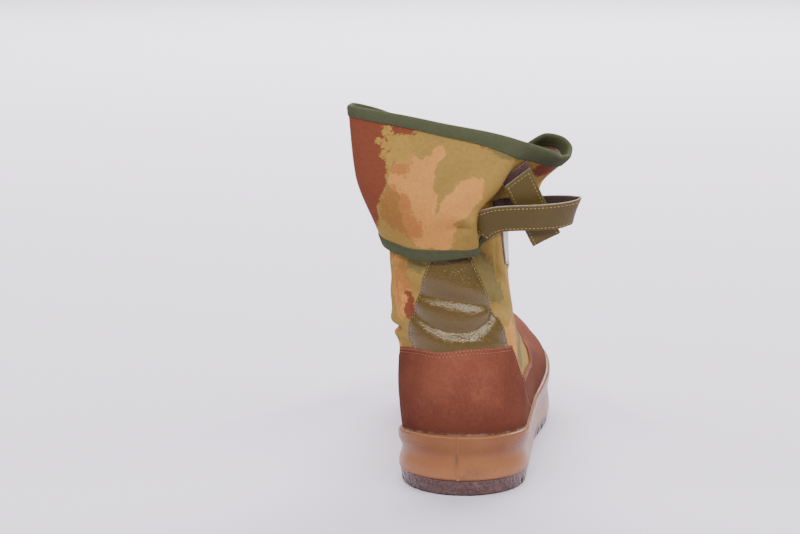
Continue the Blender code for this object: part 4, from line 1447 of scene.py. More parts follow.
@dataclass(frozen=True)
class Sole:
    """Tread, moulded cup and insole."""

    count: int = 224
    stops: tuple[SoleStop, ...] = (
        SoleStop(0.00, 0.0, 10.4),
        SoleStop(0.30, 0.0, 10.2),
        SoleStop(0.39, 4.5, 11.0),
        SoleStop(0.51, 0.0, 9.2),
        SoleStop(0.77, 0.0, 8.8),
        SoleStop(1.00, 13.0, 20.5),
    )
    tread_edge: SoleEdge = SoleEdge(1.6, 297.0, 40.2, 40.5, 33.0, 51.0, 52.0)
    seam_edge: SoleEdge = SoleEdge(0.4, 299.0, 41.6, 42.0, 34.5, 52.2, 53.2)
    foot_edge: SoleEdge = SoleEdge(0.2, 299.5, 42.2, 42.6, 35.0, 52.6, 53.6)
    hollow_edge: SoleEdge = SoleEdge(1.8, 298.0, 40.4, 41.4, 34.0, 51.4, 52.4)
    lip_edge: SoleEdge = SoleEdge(0.3, 296.6, 42.8, 43.6, 36.6, 52.8, 54.2)
    seam_gap: float = 0.35
    tread_inset: float = 0.015
    tread_bevel: float = 0.8
    bevel_share: float = 0.06
    grooves: tuple[float, ...] = (
        *(27.0, 42.0, 57.0, 72.0),
        *(160.0, 175.0, 190.0, 205.0, 220.0, 235.0, 250.0, 265.0),
    )
    groove_width: float = 4.2
    groove_depth: float = 5.2
    groove_sweep: float = 7.0
    groove_past: float = 10.0
    groove_below: float = 12.0
    heel_end: float = 100.0
    cup_middle: float = 145.0
    cup_foot: float = 3.0
    cup_floor: float = 0.35
    wall_stops: tuple[float, ...] = (0.0, 0.09, 0.45, 0.84, 0.92, 0.97, 1.0)
    wall_rings: int = 20
    lip_from: float = 0.86
    lip_rings: int = 9
    lip_level: float = 0.12
    lip_below: float = 4.0
    lip_round: float = 1.2
    lip_share: float = 0.45
    lip_crown: float = 0.35
    inside_levels: tuple[float, ...] = (0.08, 0.04, 0.0)
    gap: float = 0.45
    flash: float = 0.85
    flash_x: float = -0.8
    flash_half: float = 0.55
    flash_more: float = 0.35
    flash_behind: float = 20.0
    flash_top: float = 0.95
    flash_spans: tuple[float, ...] = (0.0006, 0.0013, 0.0021, 0.0032, 0.0050)
    tears: tuple[Tear, ...] = (Tear(0.9, 24.0, 4.0), Tear(0.4, 17.5, 1.5))
    ripple: float = 0.15
    ripple_turns: tuple[float, float] = (41.0, 17.0)
    smudges: tuple[Mark, ...] = (
        Mark(10.7, 0.0, 15.0, 7.0, 3.4),
        Mark(4.0, 0.0, 12.5, 4.0, 1.6),
        Mark(47.0, 120.0, 22.0, 9.0, 5.0),
    )
    nicks: tuple[Mark, ...] = (
        Mark(43.0, 40.0, 33.0, 2.2, 1.0),
        Mark(42.0, 30.0, 34.5, 1.4, 0.7),
        Mark(-0.8, 0.5, 24.0, 0.9, 3.4),
        Mark(44.0, 46.0, 27.0, 1.0, 2.0),
    )
    mark_length: float = 1.6
    insole_wall: float = 3.2
    insole_gap: float = 2.55
    insole_tuck: float = 3.3
    insole_round: float = 0.7

    def even_spans(self) -> Array:
        """Even places round the sole."""
        return np.arange(self.count) * 2.0 / self.count - 1.0

    def cup_spans(self) -> Array:
        """Places round the cup, closer together at the flash line on the heel."""
        fine = np.array(self.flash_spans)
        return np.unique(np.concatenate([self.even_spans(), fine, -fine]))

    def ring(self, span: Array, edge: SoleEdge, height: Array) -> Array:
        """Points of a ring at a height.

        Args:
            span: Places round the ring.
            edge: Its ends and half widths.
            height: Height of each point.

        Returns:
            The points.
        """
        x, y = LAST.outline(
            span,
            edge.back,
            edge.front,
            (edge.heel, edge.heel),
            (edge.waist_out, edge.waist_in),
            (edge.fore_out, edge.fore_in),
        )
        return np.stack([x, y, height + 0.0 * x], axis=-1)

    def height(self, at: Any, column: str) -> Array:
        """Height of the tread or the seam at each place along the foot."""
        return smooth([stop.at for stop in self.stops], [getattr(stop, column) for stop in self.stops], at)

    def groove_cutter(self) -> Thing:
        """Bars bent to chevrons that cut the grooves of the tread."""
        points = []
        faces = []
        reach = self.seam_edge.fore_in + self.groove_past
        half = self.groove_width / 2
        for middle in self.grooves:
            sweep = self.groove_sweep if middle < self.heel_end else -self.groove_sweep
            along = (middle - self.tread_edge.back) / (self.tread_edge.front - self.tread_edge.back)
            floor = self.height(along, "tread")[0]
            first = len(points)
            bend = ((-reach, sweep), (0.0, 0.0), (reach, sweep))
            for z in (floor - self.groove_below, floor + self.groove_depth):
                points += [(x, middle + back - half, z) for x, back in bend]
                points += [(x, middle + back + half, z) for x, back in reversed(bend)]
            for i in range(6):
                after = (i + 1) % 6
                faces.append((first + i, first + after, first + 6 + after, first + 6 + i))
            for base in (first, first + 6):
                faces.append((base, base + 1, base + 4, base + 5))
                faces.append((base + 1, base + 2, base + 3, base + 4))
        return make_piece("groove_cutter", np.array(points), faces, [TREAD_RUBBER.material()])

    def build_tread(self) -> Thing:
        """Outsole with chevron bars cut by a Boolean."""
        spans = self.even_spans()
        at = LAST.station(spans)
        low = self.height(at, "tread")
        tread = self.ring(spans, self.tread_edge, low)
        seam = self.ring(spans, self.seam_edge, self.height(at, "seam") - self.seam_gap)
        flat = tread.copy()
        flat[:, :2] += (flat[:, :2].mean(axis=0) - flat[:, :2]) * self.tread_inset
        bevel = tread + (seam - tread) * self.bevel_share
        bevel[:, 2] = low + self.tread_bevel
        rings = (flat, bevel, (tread + seam) / 2, seam)
        faces = ring_faces(self.count, len(rings), False)
        thing = make_piece("tread", np.concatenate(rings), faces, [TREAD_RUBBER.material()])
        cutter = self.groove_cutter()
        modifier = thing.modifiers.new("grooves", "BOOLEAN")
        modifier.operation = "DIFFERENCE"
        modifier.solver = "EXACT"
        modifier.object = cutter
        evaluated_mesh(thing)
        bpy.data.objects.remove(cutter)
        thing.data.polygons.foreach_set("use_smooth", np.zeros(len(thing.data.polygons), bool))
        return settle(thing, Slot.OUTSOLE, "outsole")

    def cup_wall(self, spans: Array) -> tuple[Array, Array]:
        """Outer face of the cup, smooth.

        Args:
            spans: Places round the cup.

        Returns:
            Rings of points from the seam to the lip, and the share of the way up of each ring.
        """
        seam = self.height(LAST.station(spans), "seam")
        lip = LAST.skin(spans, self.lip_level, self.gap, creased=False)
        top = lip[:, 2]
        crown = np.array((0.0, 0.0, self.lip_crown))
        stack = np.stack(
            [
                self.ring(spans, self.foot_edge, seam),
                self.ring(spans, self.foot_edge, seam + self.cup_foot),
                self.ring(spans, self.hollow_edge, (seam + top) / 2),
                self.ring(spans, self.lip_edge, top - self.lip_below),
                self.ring(spans, self.lip_edge, top - self.lip_round),
                lip + (self.ring(spans, self.lip_edge, top) - lip) * self.lip_share + crown,
                lip,
            ]
        )
        low = np.linspace(0.0, self.wall_stops[3], self.wall_rings)
        shares = np.concatenate([low, np.linspace(self.lip_from, 1.0, self.lip_rings)])
        rings = []
        for share in shares:
            at = np.full(len(spans), share)
            rings.append(np.stack([smooth(self.wall_stops, stack[:, :, k], at) for k in range(3)], axis=-1))
        return np.stack(rings), shares[:, None]

    def marks(self, points: Array) -> dict[str, Array]:
        """How strongly each point of the cup is smudged or nicked."""
        fields = {}
        for label, marks in (("smudge", self.smudges), ("nick", self.nicks)):
            value = np.zeros(len(points))
            for mark in marks:
                half = np.array((mark.wide, mark.wide * self.mark_length, mark.tall))
                away = (((points - np.array(mark[:3])) / half) ** 2).sum(axis=-1)
                value = np.maximum(value, np.exp(-away))
            fields[label] = value
        return fields

    def build_cup(self) -> Thing:
        """Moulded cup with a hollow wall, a rolled lip, a torn flash line and rubbed marks."""
        spans = self.cup_spans()
        wall, shares = self.cup_wall(spans)
        middle = wall[self.wall_rings // 2]
        x, y = middle[:, 0] - LAST.inflare(middle[:, 1]), middle[:, 1] - self.cup_middle
        outward = unit(np.stack([x, y, 0.0 * spans], axis=-1))
        behind = (wall[:, :, 1] < self.flash_behind) & (shares < self.flash_top)
        torn = sum(tear.more * hump((wall[:, :, 2] - tear.z) / tear.half) for tear in self.tears)
        thin = hump((wall[:, :, 0] - self.flash_x) / (self.flash_half + self.flash_more * torn))
        wall[:, :, 1] -= behind * self.flash * (1.0 + torn) * thin
        wave = np.sin(spans * self.ripple_turns[0]) * np.sin(spans * self.ripple_turns[1] + 1.0)
        wall = wall + outward * (self.ripple * wave * (1.0 - shares))[:, :, None]
        inside = [LAST.skin(spans, level, self.gap, creased=False) for level in self.inside_levels]
        floor = inside[-1] - np.array((0.0, 0.0, self.cup_floor))
        rings = [*wall, *inside, floor]
        points = np.concatenate(rings)
        faces = ring_faces(len(spans), len(rings), False)
        thing = make_piece("cup", points, faces, [CUP_RUBBER.material()], fields=self.marks(points))
        return settle(thing, Slot.CUP, "midsole")

    def build_insole(self) -> Thing:
        """Felt insole with a rounded top edge."""
        spans = self.even_spans()
        low = LAST.skin(spans, 0.0, -self.insole_gap, creased=False)
        low[:, 2] = LAST.surface(spans, 0.0)[:, 2]
        tucked = LAST.skin(spans, 0.0, -self.insole_tuck, creased=False)
        tucked[:, 2] = low[:, 2] + self.insole_wall
        upper = low + np.array((0.0, 0.0, self.insole_wall - self.insole_round))
        points = np.concatenate([low, upper, tucked])
        faces = ring_faces(self.count, 3, False)
        return settle(make_piece("insole_sheet", points, faces, [FELT.material()]), Slot.INSOLE, "insole")


# Upper and its overlays


@dataclass(frozen=True)
class Upper:
    """Hollow canvas upper, open underneath, at the collar and along the throat."""

    wall: float = 2.2
    roll: float = 0.8
    count: int = 288
    levels: int = 74

    def build(self) -> Thing:
        """Builds the canvas with its lining inside."""
        spans = np.arange(self.count) * 2.0 / self.count - 1.0
        levels = np.linspace(0.0, 1.0, self.levels)
        outer = [LAST.skin(spans, level, 0.0) for level in levels]
        inner = [LAST.skin(spans, level, -self.wall) for level in np.linspace(1.0, 0.0, self.levels // 2)]
        rise = unit(outer[-1] - outer[-2])
        roll = (outer[-1] + inner[0]) / 2 + rise * self.roll
        rings = [*outer, roll, *inner]
        points = np.concatenate(rings)
        around = arc(np.stack(outer), 1)
        upward = arc(np.stack(outer), 0)
        flat = np.stack([around, upward], axis=-1).reshape(-1, 2)
        rest = np.tile(flat[-self.count :], (len(rings) - len(outer), 1))
        slots = np.zeros(len(rings) * self.count, np.int32)
        slots[len(outer) * self.count :] = 1
        thing = make_piece(
            "canvas_upper",
            points,
            ring_faces(self.count, len(rings), True),
            [CANVAS.material(), LINING.material()],
            slots,
            np.concatenate([flat, rest]) * MM,
            print_fields(points),
        )
        return settle(thing, Slot.CANVAS, "upper")


# Border, inset and end trims of a stitch row
StitchRow = tuple[Border, float, tuple[float, float]]


@dataclass(frozen=True)
class Overlay:
    """A piece sewn on the upper, with a rounded rim and sunken stitch rows."""

    name: str
    node: str
    finish: Finish
    slot: Slot
    gap: float = 0.2
    wall: float = 1.3
    puff: float = 0.25
    puff_reach: float = 9.0
    rounding: float = 1.1
    edge_share: float = 0.25
    rim_half: float = 0.55
    sink: float = 0.32
    sink_half: float = 0.9
    under: float = 0.05
    glue_at: float = 0.6
    glue_half: float = 1.1

    def build(
        self,
        span: Array,
        level: Array,
        rows: Sequence[StitchRow],
        thread: Stitching,
        foot: Optional[Border] = None,
    ) -> Thing:
        """Builds the piece over a grid and sews its rows.

        Args:
            span: Grid of places round the foot, rows running round it.
            level: Grid of levels.
            rows: Border, inset and end trims of each stitch row.
            thread: Stitching that takes the rows.
            foot: Border that is glued to the sole, if any.

        Returns:
            The finished piece.
        """
        base = Patch(LAST.skin(span, level))
        inset = base.inset()
        rise = self.gap + self.wall * base.rounded(self.rounding, self.edge_share)
        rise = rise + self.puff * np.clip(inset / self.puff_reach, 0.0, 1.0)
        for border, depth, _ in rows:
            rise = rise - self.sink * hump((base.reach(border) - depth) / self.sink_half)
        outer = base.points + base.normals * rise[:, :, None]
        inner = base.points + base.normals * self.under
        face = Patch(outer)
        for border, depth, trim in rows:
            thread.sew(face.line(border, depth, trim))
        rim = hump(inset / self.rim_half).ravel()
        low = np.zeros_like(rim)
        if foot is not None:
            low = hump((base.reach(foot).ravel() - self.glue_at) / self.glue_half)
        fields = {"rim": np.concatenate([rim, np.ones_like(rim)]), "foot": np.concatenate([low, low])}
        points = both_faces(outer, inner)
        thing = make_sheet(self.name, points, span.shape, [self.finish.material()], base.flat(), fields)
        if self.slot is Slot.LEATHERETTE:
            declare(base)
        return settle(thing, self.slot, self.node)


class Grid(NamedTuple):
    """Rows and columns of a grid, and how strongly each is drawn to its ends."""

    rows: int
    columns: int
    row_pull: float
    column_pull: float

    def places(self) -> list[Array]:
        """Places from 0 to 1 across the rows and along the columns."""
        first, second = clustered(self.rows, self.row_pull), clustered(self.columns, self.column_pull)
        return np.meshgrid(first, second, indexing="ij")


@dataclass(frozen=True)
class Overlays:
    """Counter, vamp, back panel and facings, each cut by its own border tables."""

    rand: float = 0.117
    rounds: int = 3
    counter_grid: Grid = Grid(240, 72, 0.35, 0.55)
    counter_front: Table = ((0.12, 0.396), (0.24, 0.304), (0.35, 0.236), (0.50, 0.198))
    counter_back: float = 0.495
    counter_side: float = 0.470
    counter_wave: float = 0.016
    counter_slope: float = 0.2
    counter_dip: tuple[float, float] = (-0.045, 0.05)
    counter_wall: float = 1.75
    counter_rows: tuple[float, float] = (2.0, 4.2)
    panel_grid: Grid = Grid(96, 96, 0.55, 0.4)
    panel_out: Table = ((0.49, 0.182), (0.60, 0.180), (0.74, 0.150), (0.95, 0.098))
    panel_in: Table = ((0.49, 0.138), (0.60, 0.147), (0.74, 0.124), (0.95, 0.068))
    panel_top: float = 0.95
    panel_foot: float = 0.462
    vamp_grid: Grid = Grid(300, 72, 0.2, 0.55)
    crest: Table = (
        (0.19, 0.370),
        (0.42, 0.340),
        (0.465, 0.325),
        (0.52, 0.45),
        (0.60, 0.60),
        (0.70, 0.80),
        (0.80, 1.00),
        (1.00, 1.00),
    )
    clear: float = 0.004
    facing_grid: Grid = Grid(110, 40, 0.55, 0.55)
    facing_from: tuple[float, float] = (0.355, 0.46)
    facing_to: float = 0.73
    facing_low: float = 0.870

    def build_counter(self, thread: Stitching) -> Thing:
        """Suede round the heel, with a double row below its top edge."""
        u, v = self.counter_grid.places()
        widest = self.counter_front[0][1]
        at, half = self.counter_dip
        level = self.rand + v * (self.counter_back - self.rand)
        for _ in range(self.rounds):
            span = (2.0 * u - 1.0) * read_rows(self.counter_front, level)
            top = self.counter_back + (self.counter_side - self.counter_back) * (span / widest) ** 2
            wave = np.clip(span / self.counter_slope, 0.0, 1.0) - hump((span - at) / half)
            level = self.rand + v * (top + self.counter_wave * wave - self.rand)
        rows = (
            *((Border.LAST_COLUMN, inset, (1.5, 1.5)) for inset in self.counter_rows),
            (Border.FIRST_ROW, 2.4, (4.0, 4.0)),
            (Border.LAST_ROW, 2.4, (4.0, 4.0)),
        )
        piece = Overlay("suede_counter", "heel_counter", SUEDE, Slot.SUEDE, wall=self.counter_wall)
        return piece.build(span, level, rows, thread, Border.FIRST_COLUMN)

    def build_panel(self, thread: Stitching) -> Thing:
        """Leatherette up the back, sewn along both sides."""
        u, v = self.panel_grid.places()
        level = self.panel_foot + v * (self.panel_top - self.panel_foot)
        low, high = -read_rows(self.panel_in, level), read_rows(self.panel_out, level)
        span = low + (high - low) * u
        rows = ((Border.FIRST_ROW, 2.0, (1.0, 1.0)), (Border.LAST_ROW, 2.0, (1.0, 1.0)))
        piece = Overlay("leatherette_panel", "back_panel", LEATHERETTE, Slot.LEATHERETTE, 0.15, 1.0, 0.5)
        return piece.build(span, level, rows, thread)

    def build_vamp(self, thread: Stitching) -> Thing:
        """Suede round the toe with a low band along each side back to the counter."""
        u, v = self.vamp_grid.places()
        start = self.counter_front[-1][1]
        level = self.rand + v * 0.2
        for _ in range(self.rounds):
            back = read_rows(self.counter_front, level) + self.clear
            span = back + (2.0 - 2.0 * back) * u
            top = read_rows(self.crest, np.maximum(1.0 - np.abs(span - 1.0), start))
            level = self.rand + v * (top - self.rand)
        rows = ((Border.LAST_COLUMN, 2.4, (6.0, 6.0)), (Border.LAST_COLUMN, 5.0, (6.0, 6.0)))
        piece = Overlay("suede_vamp", "vamp", SUEDE, Slot.SUEDE, gap=0.35)
        return piece.build(span, level, rows, thread, Border.FIRST_COLUMN)

    def build_facing(self, side: float, thread: Stitching) -> Thing:
        """Leatherette strip that carries the eyelets of one side.

        Args:
            side: 1 for the outer side, -1 for the inner side.
            thread: Stitching that takes its rows.

        Returns:
            The finished piece.
        """
        u, v = self.facing_grid.places()
        name, start = ("lateral", self.facing_from[0]) if side > 0 else ("medial", self.facing_from[1])
        first, last = sorted((side * start, side * self.facing_to))
        span = first + (last - first) * u
        level = self.facing_low + (1.0 - self.facing_low) * v
        rows = ((Border.FIRST_COLUMN, 1.6, (2.0, 2.0)), (Border.LAST_COLUMN, 1.6, (2.0, 2.0)))
        piece = Overlay(f"facing_{name}", f"eyestay_{name}", LEATHERETTE, Slot.LEATHERETTE, 0.15, 1.1, 0.1)
        return piece.build(span, level, rows, thread)


class TongueRow(NamedTuple):
    """A cross-section of the tongue."""

    x: float
    y: float
    z: float
    half: float
    crown: float


@dataclass(frozen=True)
class Tongue:
    """Crowned canvas tongue under the throat."""

    rows: tuple[TongueRow, ...] = (
        TongueRow(-3.5, 176.0, 89.0, 12.0, 3.0),
        TongueRow(-4.0, 152.0, 98.0, 15.0, 4.5),
        TongueRow(-5.5, 126.0, 114.0, 19.0, 6.0),
        TongueRow(-7.0, 103.0, 133.0, 23.0, 7.0),
        TongueRow(-9.0, 86.0, 154.0, 25.0, 7.0),
        TongueRow(-10.0, 74.0, 176.0, 22.0, 6.0),
    )
    wall: float = 3.0
    rounding: float = 1.4
    edge_share: float = 0.2
    hem: float = 3.0
    hem_trim: tuple[float, float] = (4.0, 4.0)
    stations: int = 90
    strips: int = 52

    def build(self, thread: Stitching) -> Thing:
        """Builds the tongue with rounded edges and a hem row."""
        places = clustered(self.stations)
        stops = np.linspace(0.0, 1.0, len(self.rows))
        row = TongueRow(*(smooth(stops, column, places)[:, None] for column in zip(*self.rows)))
        across = 1.0 - 2.0 * clustered(self.strips)
        x, y = row.x + row.half * across, row.y + 0.0 * across
        base = Patch(np.stack([x, y, row.z - row.crown * across**2], axis=-1))
        half = self.wall / 2 * base.rounded(self.rounding, self.edge_share)
        upward = np.where(base.normals[:, :, 2:].mean() < 0.0, -base.normals, base.normals)
        outer, inner = (base.points + upward * (face * half)[:, :, None] for face in (1.0, -1.0))
        for border in (Border.FIRST_COLUMN, Border.LAST_COLUMN, Border.LAST_ROW):
            line, normals = Patch(outer).line(border, self.hem, self.hem_trim)
            thread.sew((line, np.where(normals[:, 2:] < 0.0, -normals, normals)))
        points = both_faces(outer, inner)
        materials = [CANVAS.material(), LINING.material()]
        shape = base.points.shape[:2]
        thing = make_sheet("canvas_tongue", points, shape, materials, base.flat(), print_fields(points))
        declare(base)
        return settle(thing, Slot.CANVAS, "tongue")


# Cuff, binding and straps


class Fold(NamedTuple):
    """A line of the slack cuff from its seam through its middle to its top."""

    place: float
    span: float
    stand: float
    lift: float
    mid_x: float
    mid_y: float
    mid_z: float
    top_x: float
    top_y: float
    top_z: float


CUFF_FOLDS = (
    Fold(0.00, -0.440, 3.8, 0.0, -46.0, 70.0, 192.0, -16.0, 60.0, 222.0),
    Fold(0.10, -0.415, 3.3, 0.0, -55.0, 57.0, 197.0, -39.0, 46.0, 234.0),
    Fold(0.19, -0.365, 3.2, 0.0, -62.5, 41.0, 202.0, -59.0, 34.0, 242.5),
    Fold(0.25, -0.310, 3.2, 0.0, -66.2, 27.0, 204.0, -69.4, 21.0, 246.0),
    Fold(0.30, -0.255, 3.2, 0.0, -65.8, 13.0, 204.0, -69.6, 9.0, 246.0),
    Fold(0.36, -0.185, 3.2, 0.0, -56.0, 3.0, 201.0, -57.0, 0.0, 244.4),
    Fold(0.44, -0.110, 3.2, -1.8, -36.0, -4.0, 198.0, -36.0, -5.0, 241.6),
    Fold(0.53, -0.045, 3.2, -0.8, -13.0, -7.0, 193.0, -6.0, -8.0, 236.2),
    Fold(0.59, 0.020, 3.2, 0.6, 3.0, -6.0, 187.0, 18.0, -6.5, 231.8),
    Fold(0.63, 0.072, 3.4, 1.4, 8.8, -5.2, 181.0, 31.0, -3.5, 228.4),
    Fold(0.652, 0.106, 4.2, 1.8, 10.0, 0.0, 180.0, 38.0, -1.0, 226.0),
    Fold(0.675, 0.116, 3.4, 6.5, 7.6, 9.0, 181.0, 43.0, 1.6, 224.3),
    Fold(0.70, 0.140, 3.3, 9.5, 11.6, 17.6, 182.5, 47.5, 4.0, 222.6),
    Fold(0.75, 0.210, 3.4, 11.5, 23.0, 29.0, 184.0, 55.5, 8.0, 219.4),
    Fold(0.80, 0.290, 3.6, 12.0, 35.0, 41.0, 187.0, 62.0, 12.5, 215.6),
    Fold(0.84, 0.340, 3.9, 11.5, 41.0, 47.0, 188.0, 66.0, 18.5, 215.4),
    Fold(0.88, 0.385, 4.2, 11.0, 45.0, 53.0, 189.0, 67.0, 26.0, 219.6),
    Fold(0.92, 0.420, 4.6, 10.0, 46.0, 59.0, 190.0, 61.8, 32.0, 225.2),
    Fold(0.96, 0.447, 4.9, 10.5, 44.0, 64.5, 190.0, 52.0, 35.5, 227.0),
    Fold(1.00, 0.470, 5.2, 10.5, 40.6, 69.6, 190.0, 38.0, 38.0, 219.4),
)

# Soft folds of the cuff by place and rise
CUFF_CREASES = (
    Crease(0.652, 0.720, 0.028, 0.170, 0.0, 5.0),
    Crease(0.595, 0.295, 0.032, 0.034, 1.4, -2.0),
    Crease(0.585, 0.380, 0.040, 0.050, 0.9, 1.2),
    Crease(0.535, 0.480, 0.022, 0.200, 0.0, -1.7, 1.6),
    Crease(0.580, 0.520, 0.026, 0.180, 0.0, 1.3, 1.4),
    Crease(0.500, 0.300, 0.040, 0.160, 0.0, 0.8, 0.6),
    Crease(0.430, 0.420, 0.060, 0.250, 0.4, -0.9),
    Crease(0.360, 0.550, 0.040, 0.250, 0.0, 0.8),
    Crease(0.80, 0.45, 0.05, 0.15, 0.5, 1.4),
    Crease(0.88, 0.60, 0.04, 0.20, -0.4, -1.2),
    Crease(0.15, 0.45, 0.05, 0.20, 0.4, 1.2),
    Crease(0.24, 0.30, 0.04, 0.15, 0.0, -1.0),
)


@dataclass(frozen=True)
class Cuff:
    """Slack canvas cuff with a folded tape round its whole edge."""

    level: float = 0.954
    middle: float = 0.48
    wall: float = 1.8
    columns: int = 250
    heights: int = 80
    probe: float = 0.004
    tape_width: float = 7.2
    tape_half: float = 1.6
    tape_gap: float = 0.12
    tape_steps: tuple[int, int] = (219, 89)
    tape_pitch: float = 1.5
    # Share of the way to the edge, and height above the cloth, of the turned-in border of the tape
    hem: Table = ((0.0, 0.0), (0.0, 0.4), (0.06, 0.62), (0.18, 0.36))
    # Share of the way to the edge, and loss of height, of the flat of the tape
    flat: Table = ((0.32, 0.0), (0.6, 0.0), (0.8, 0.0), (0.96, 0.15))
    # Share of the tape's half thickness, and of its reach, round the fold
    fold: Table = (
        *((0.75, 0.35), (0.45, 0.75), (0.15, 1.0)),
        *((-0.15, 1.0), (-0.45, 0.75), (-0.75, 0.35)),
    )
    fold_reach: float = 1.1
    seam_share: float = 0.2
    seam_lift: float = 0.36

    def surface(self, place: Array, rise: Array) -> Array:
        """Points on the middle of the sheet.

        Args:
            place: Places round the cuff, 0 to 1.
            rise: Height from the seam to the top, 0 to 1.

        Returns:
            Points in millimetres.
        """
        place = np.clip(np.atleast_1d(place) + 0.0, 0.0, 1.0)
        rise = np.clip(np.atleast_1d(rise) + 0.0 * place, 0.0, 1.0)
        stops = [fold.place for fold in CUFF_FOLDS]
        row = Fold(*(smooth(stops, column, place) for column in zip(*CUFF_FOLDS)))
        low = LAST.skin(row.span, np.full_like(place, self.level), row.stand, creased=False)
        low[:, 2] += row.lift
        mid = np.stack([row.mid_x, row.mid_y, row.mid_z], axis=-1)
        top = np.stack([row.top_x, row.top_y, row.top_z], axis=-1)
        stack = np.stack([low, mid, top])
        levels = (0.0, self.middle, 1.0)
        return np.stack([smooth(levels, stack[:, :, k], rise) for k in range(3)], axis=-1)

    def skin(self, place: Array, rise: Array, offset: Any) -> Array:
        """Points at a distance outside the sheet, with its soft folds.

        Args:
            place: Places round the cuff, in any shape.
            rise: Heights in the same shape.
            offset: Distance outside the middle of the sheet.

        Returns:
            Points with a last axis of three.
        """
        place, rise = np.broadcast_arrays(np.asarray(place, float), np.asarray(rise, float))
        p, r = place.ravel(), rise.ravel()
        near = self.probe
        across = self.surface(p + near, r) - self.surface(p - near, r)
        upward = self.surface(p, r + near) - self.surface(p, r - near)
        height = np.broadcast_to(np.asarray(offset, float), place.shape).ravel()
        height = height + relief(CUFF_CREASES, p, r)
        normal = unit(np.cross(across, upward))
        return (self.surface(p, r) + normal * height[:, None]).reshape(*place.shape, 3)

    def cloth(self, offset: float = 0.0) -> Patch:
        """Grid at a distance outside the middle of the sheet."""
        places = (np.linspace(0.0, 1.0, count) for count in (self.columns, self.heights))
        return Patch(self.skin(*np.meshgrid(*places, indexing="ij"), offset))

    def build(self) -> Thing:
        """Printed sheet with a plain inside."""
        outer, inner = self.cloth(self.wall / 2), self.cloth(-self.wall / 2)
        points = both_faces(outer.points, inner.points)
        materials = [CANVAS.material(), LINING.material()]
        shape = (self.columns, self.heights)
        thing = make_sheet("canvas_cuff", points, shape, materials, outer.flat(), print_fields(points))
        return settle(thing, Slot.CANVAS, "cuff")

    def rim(self) -> tuple[Array, Array]:
        """Places and rises round the edge of the sheet, and those one tape width inside them."""
        even, tall = (np.arange(count) / count for count in self.tape_steps)
        place = np.concatenate([even, np.ones_like(tall), 1.0 - even, np.zeros_like(tall)])
        rise = np.concatenate([np.ones_like(even), 1.0 - tall, np.zeros_like(even), tall])
        around, upward = np.linspace(0.0, 1.0, 160), np.linspace(0.0, 1.0, 40)
        sheet = np.array([self.surface(around, level) for level in upward])
        length = arc(sheet, 1)[len(upward) // 2, -1]
        side = self.tape_width / length
        up = self.tape_width / np.interp(place, around, arc(sheet, 0)[-1])
        inside = np.stack([np.clip(place, side, 1.0 - side), np.clip(rise, up, 1.0 - up)])
        return np.stack([place, rise]), inside

    def build_binding(self, thread: Stitching) -> Thing:
        """Tape folded over the edge, sewn near its inner border on both faces."""
        rim, inside = self.rim()
        edge = self.surface(*rim)
        outward = unit(edge - self.surface(*inside))
        near = self.wall / 2 + self.tape_gap
        profile = [(share, near + height) for share, height in self.hem]
        profile += [(share, self.tape_half - loss) for share, loss in self.flat]
        front, back = (
            [self.skin(*(inside + (rim - inside) * share), face * half) for share, half in profile]
            for face in (1.0, -1.0)
        )
        turned = [
            self.skin(*rim, half * self.tape_half) + outward * (self.fold_reach * reach)
            for half, reach in self.fold
        ]
        rings = [*front, *turned, *reversed(back)]
        count = len(edge)
        run = np.concatenate([[0.0], np.cumsum(np.linalg.norm(np.diff(edge, axis=0), axis=-1))])
        rows = [np.stack([run, np.full(count, self.tape_pitch * k)], axis=-1) for k in range(len(rings))]
        faces = ring_faces(count, len(rings), True)
        flat = np.concatenate(rows) * MM
        thing = make_piece("binding_tape", np.concatenate(rings), faces, [TAPE.material()], uv=flat)
        seam = inside + (rim - inside) * self.seam_share
        normal = unit(self.skin(*seam, 1.0) - self.skin(*seam, 0.0))
        for face in (1.0, -1.0):
            line = self.skin(*seam, face * (near + self.seam_lift))
            thread.sew(trimmed(line, normal * face, (0.0, 1.0)), 0.1)
        return settle(thing, Slot.TAPE, "binding")


class StrapStop(NamedTuple):
    """A point on the middle line of a strap."""

    x: float
    y: float
    z: float


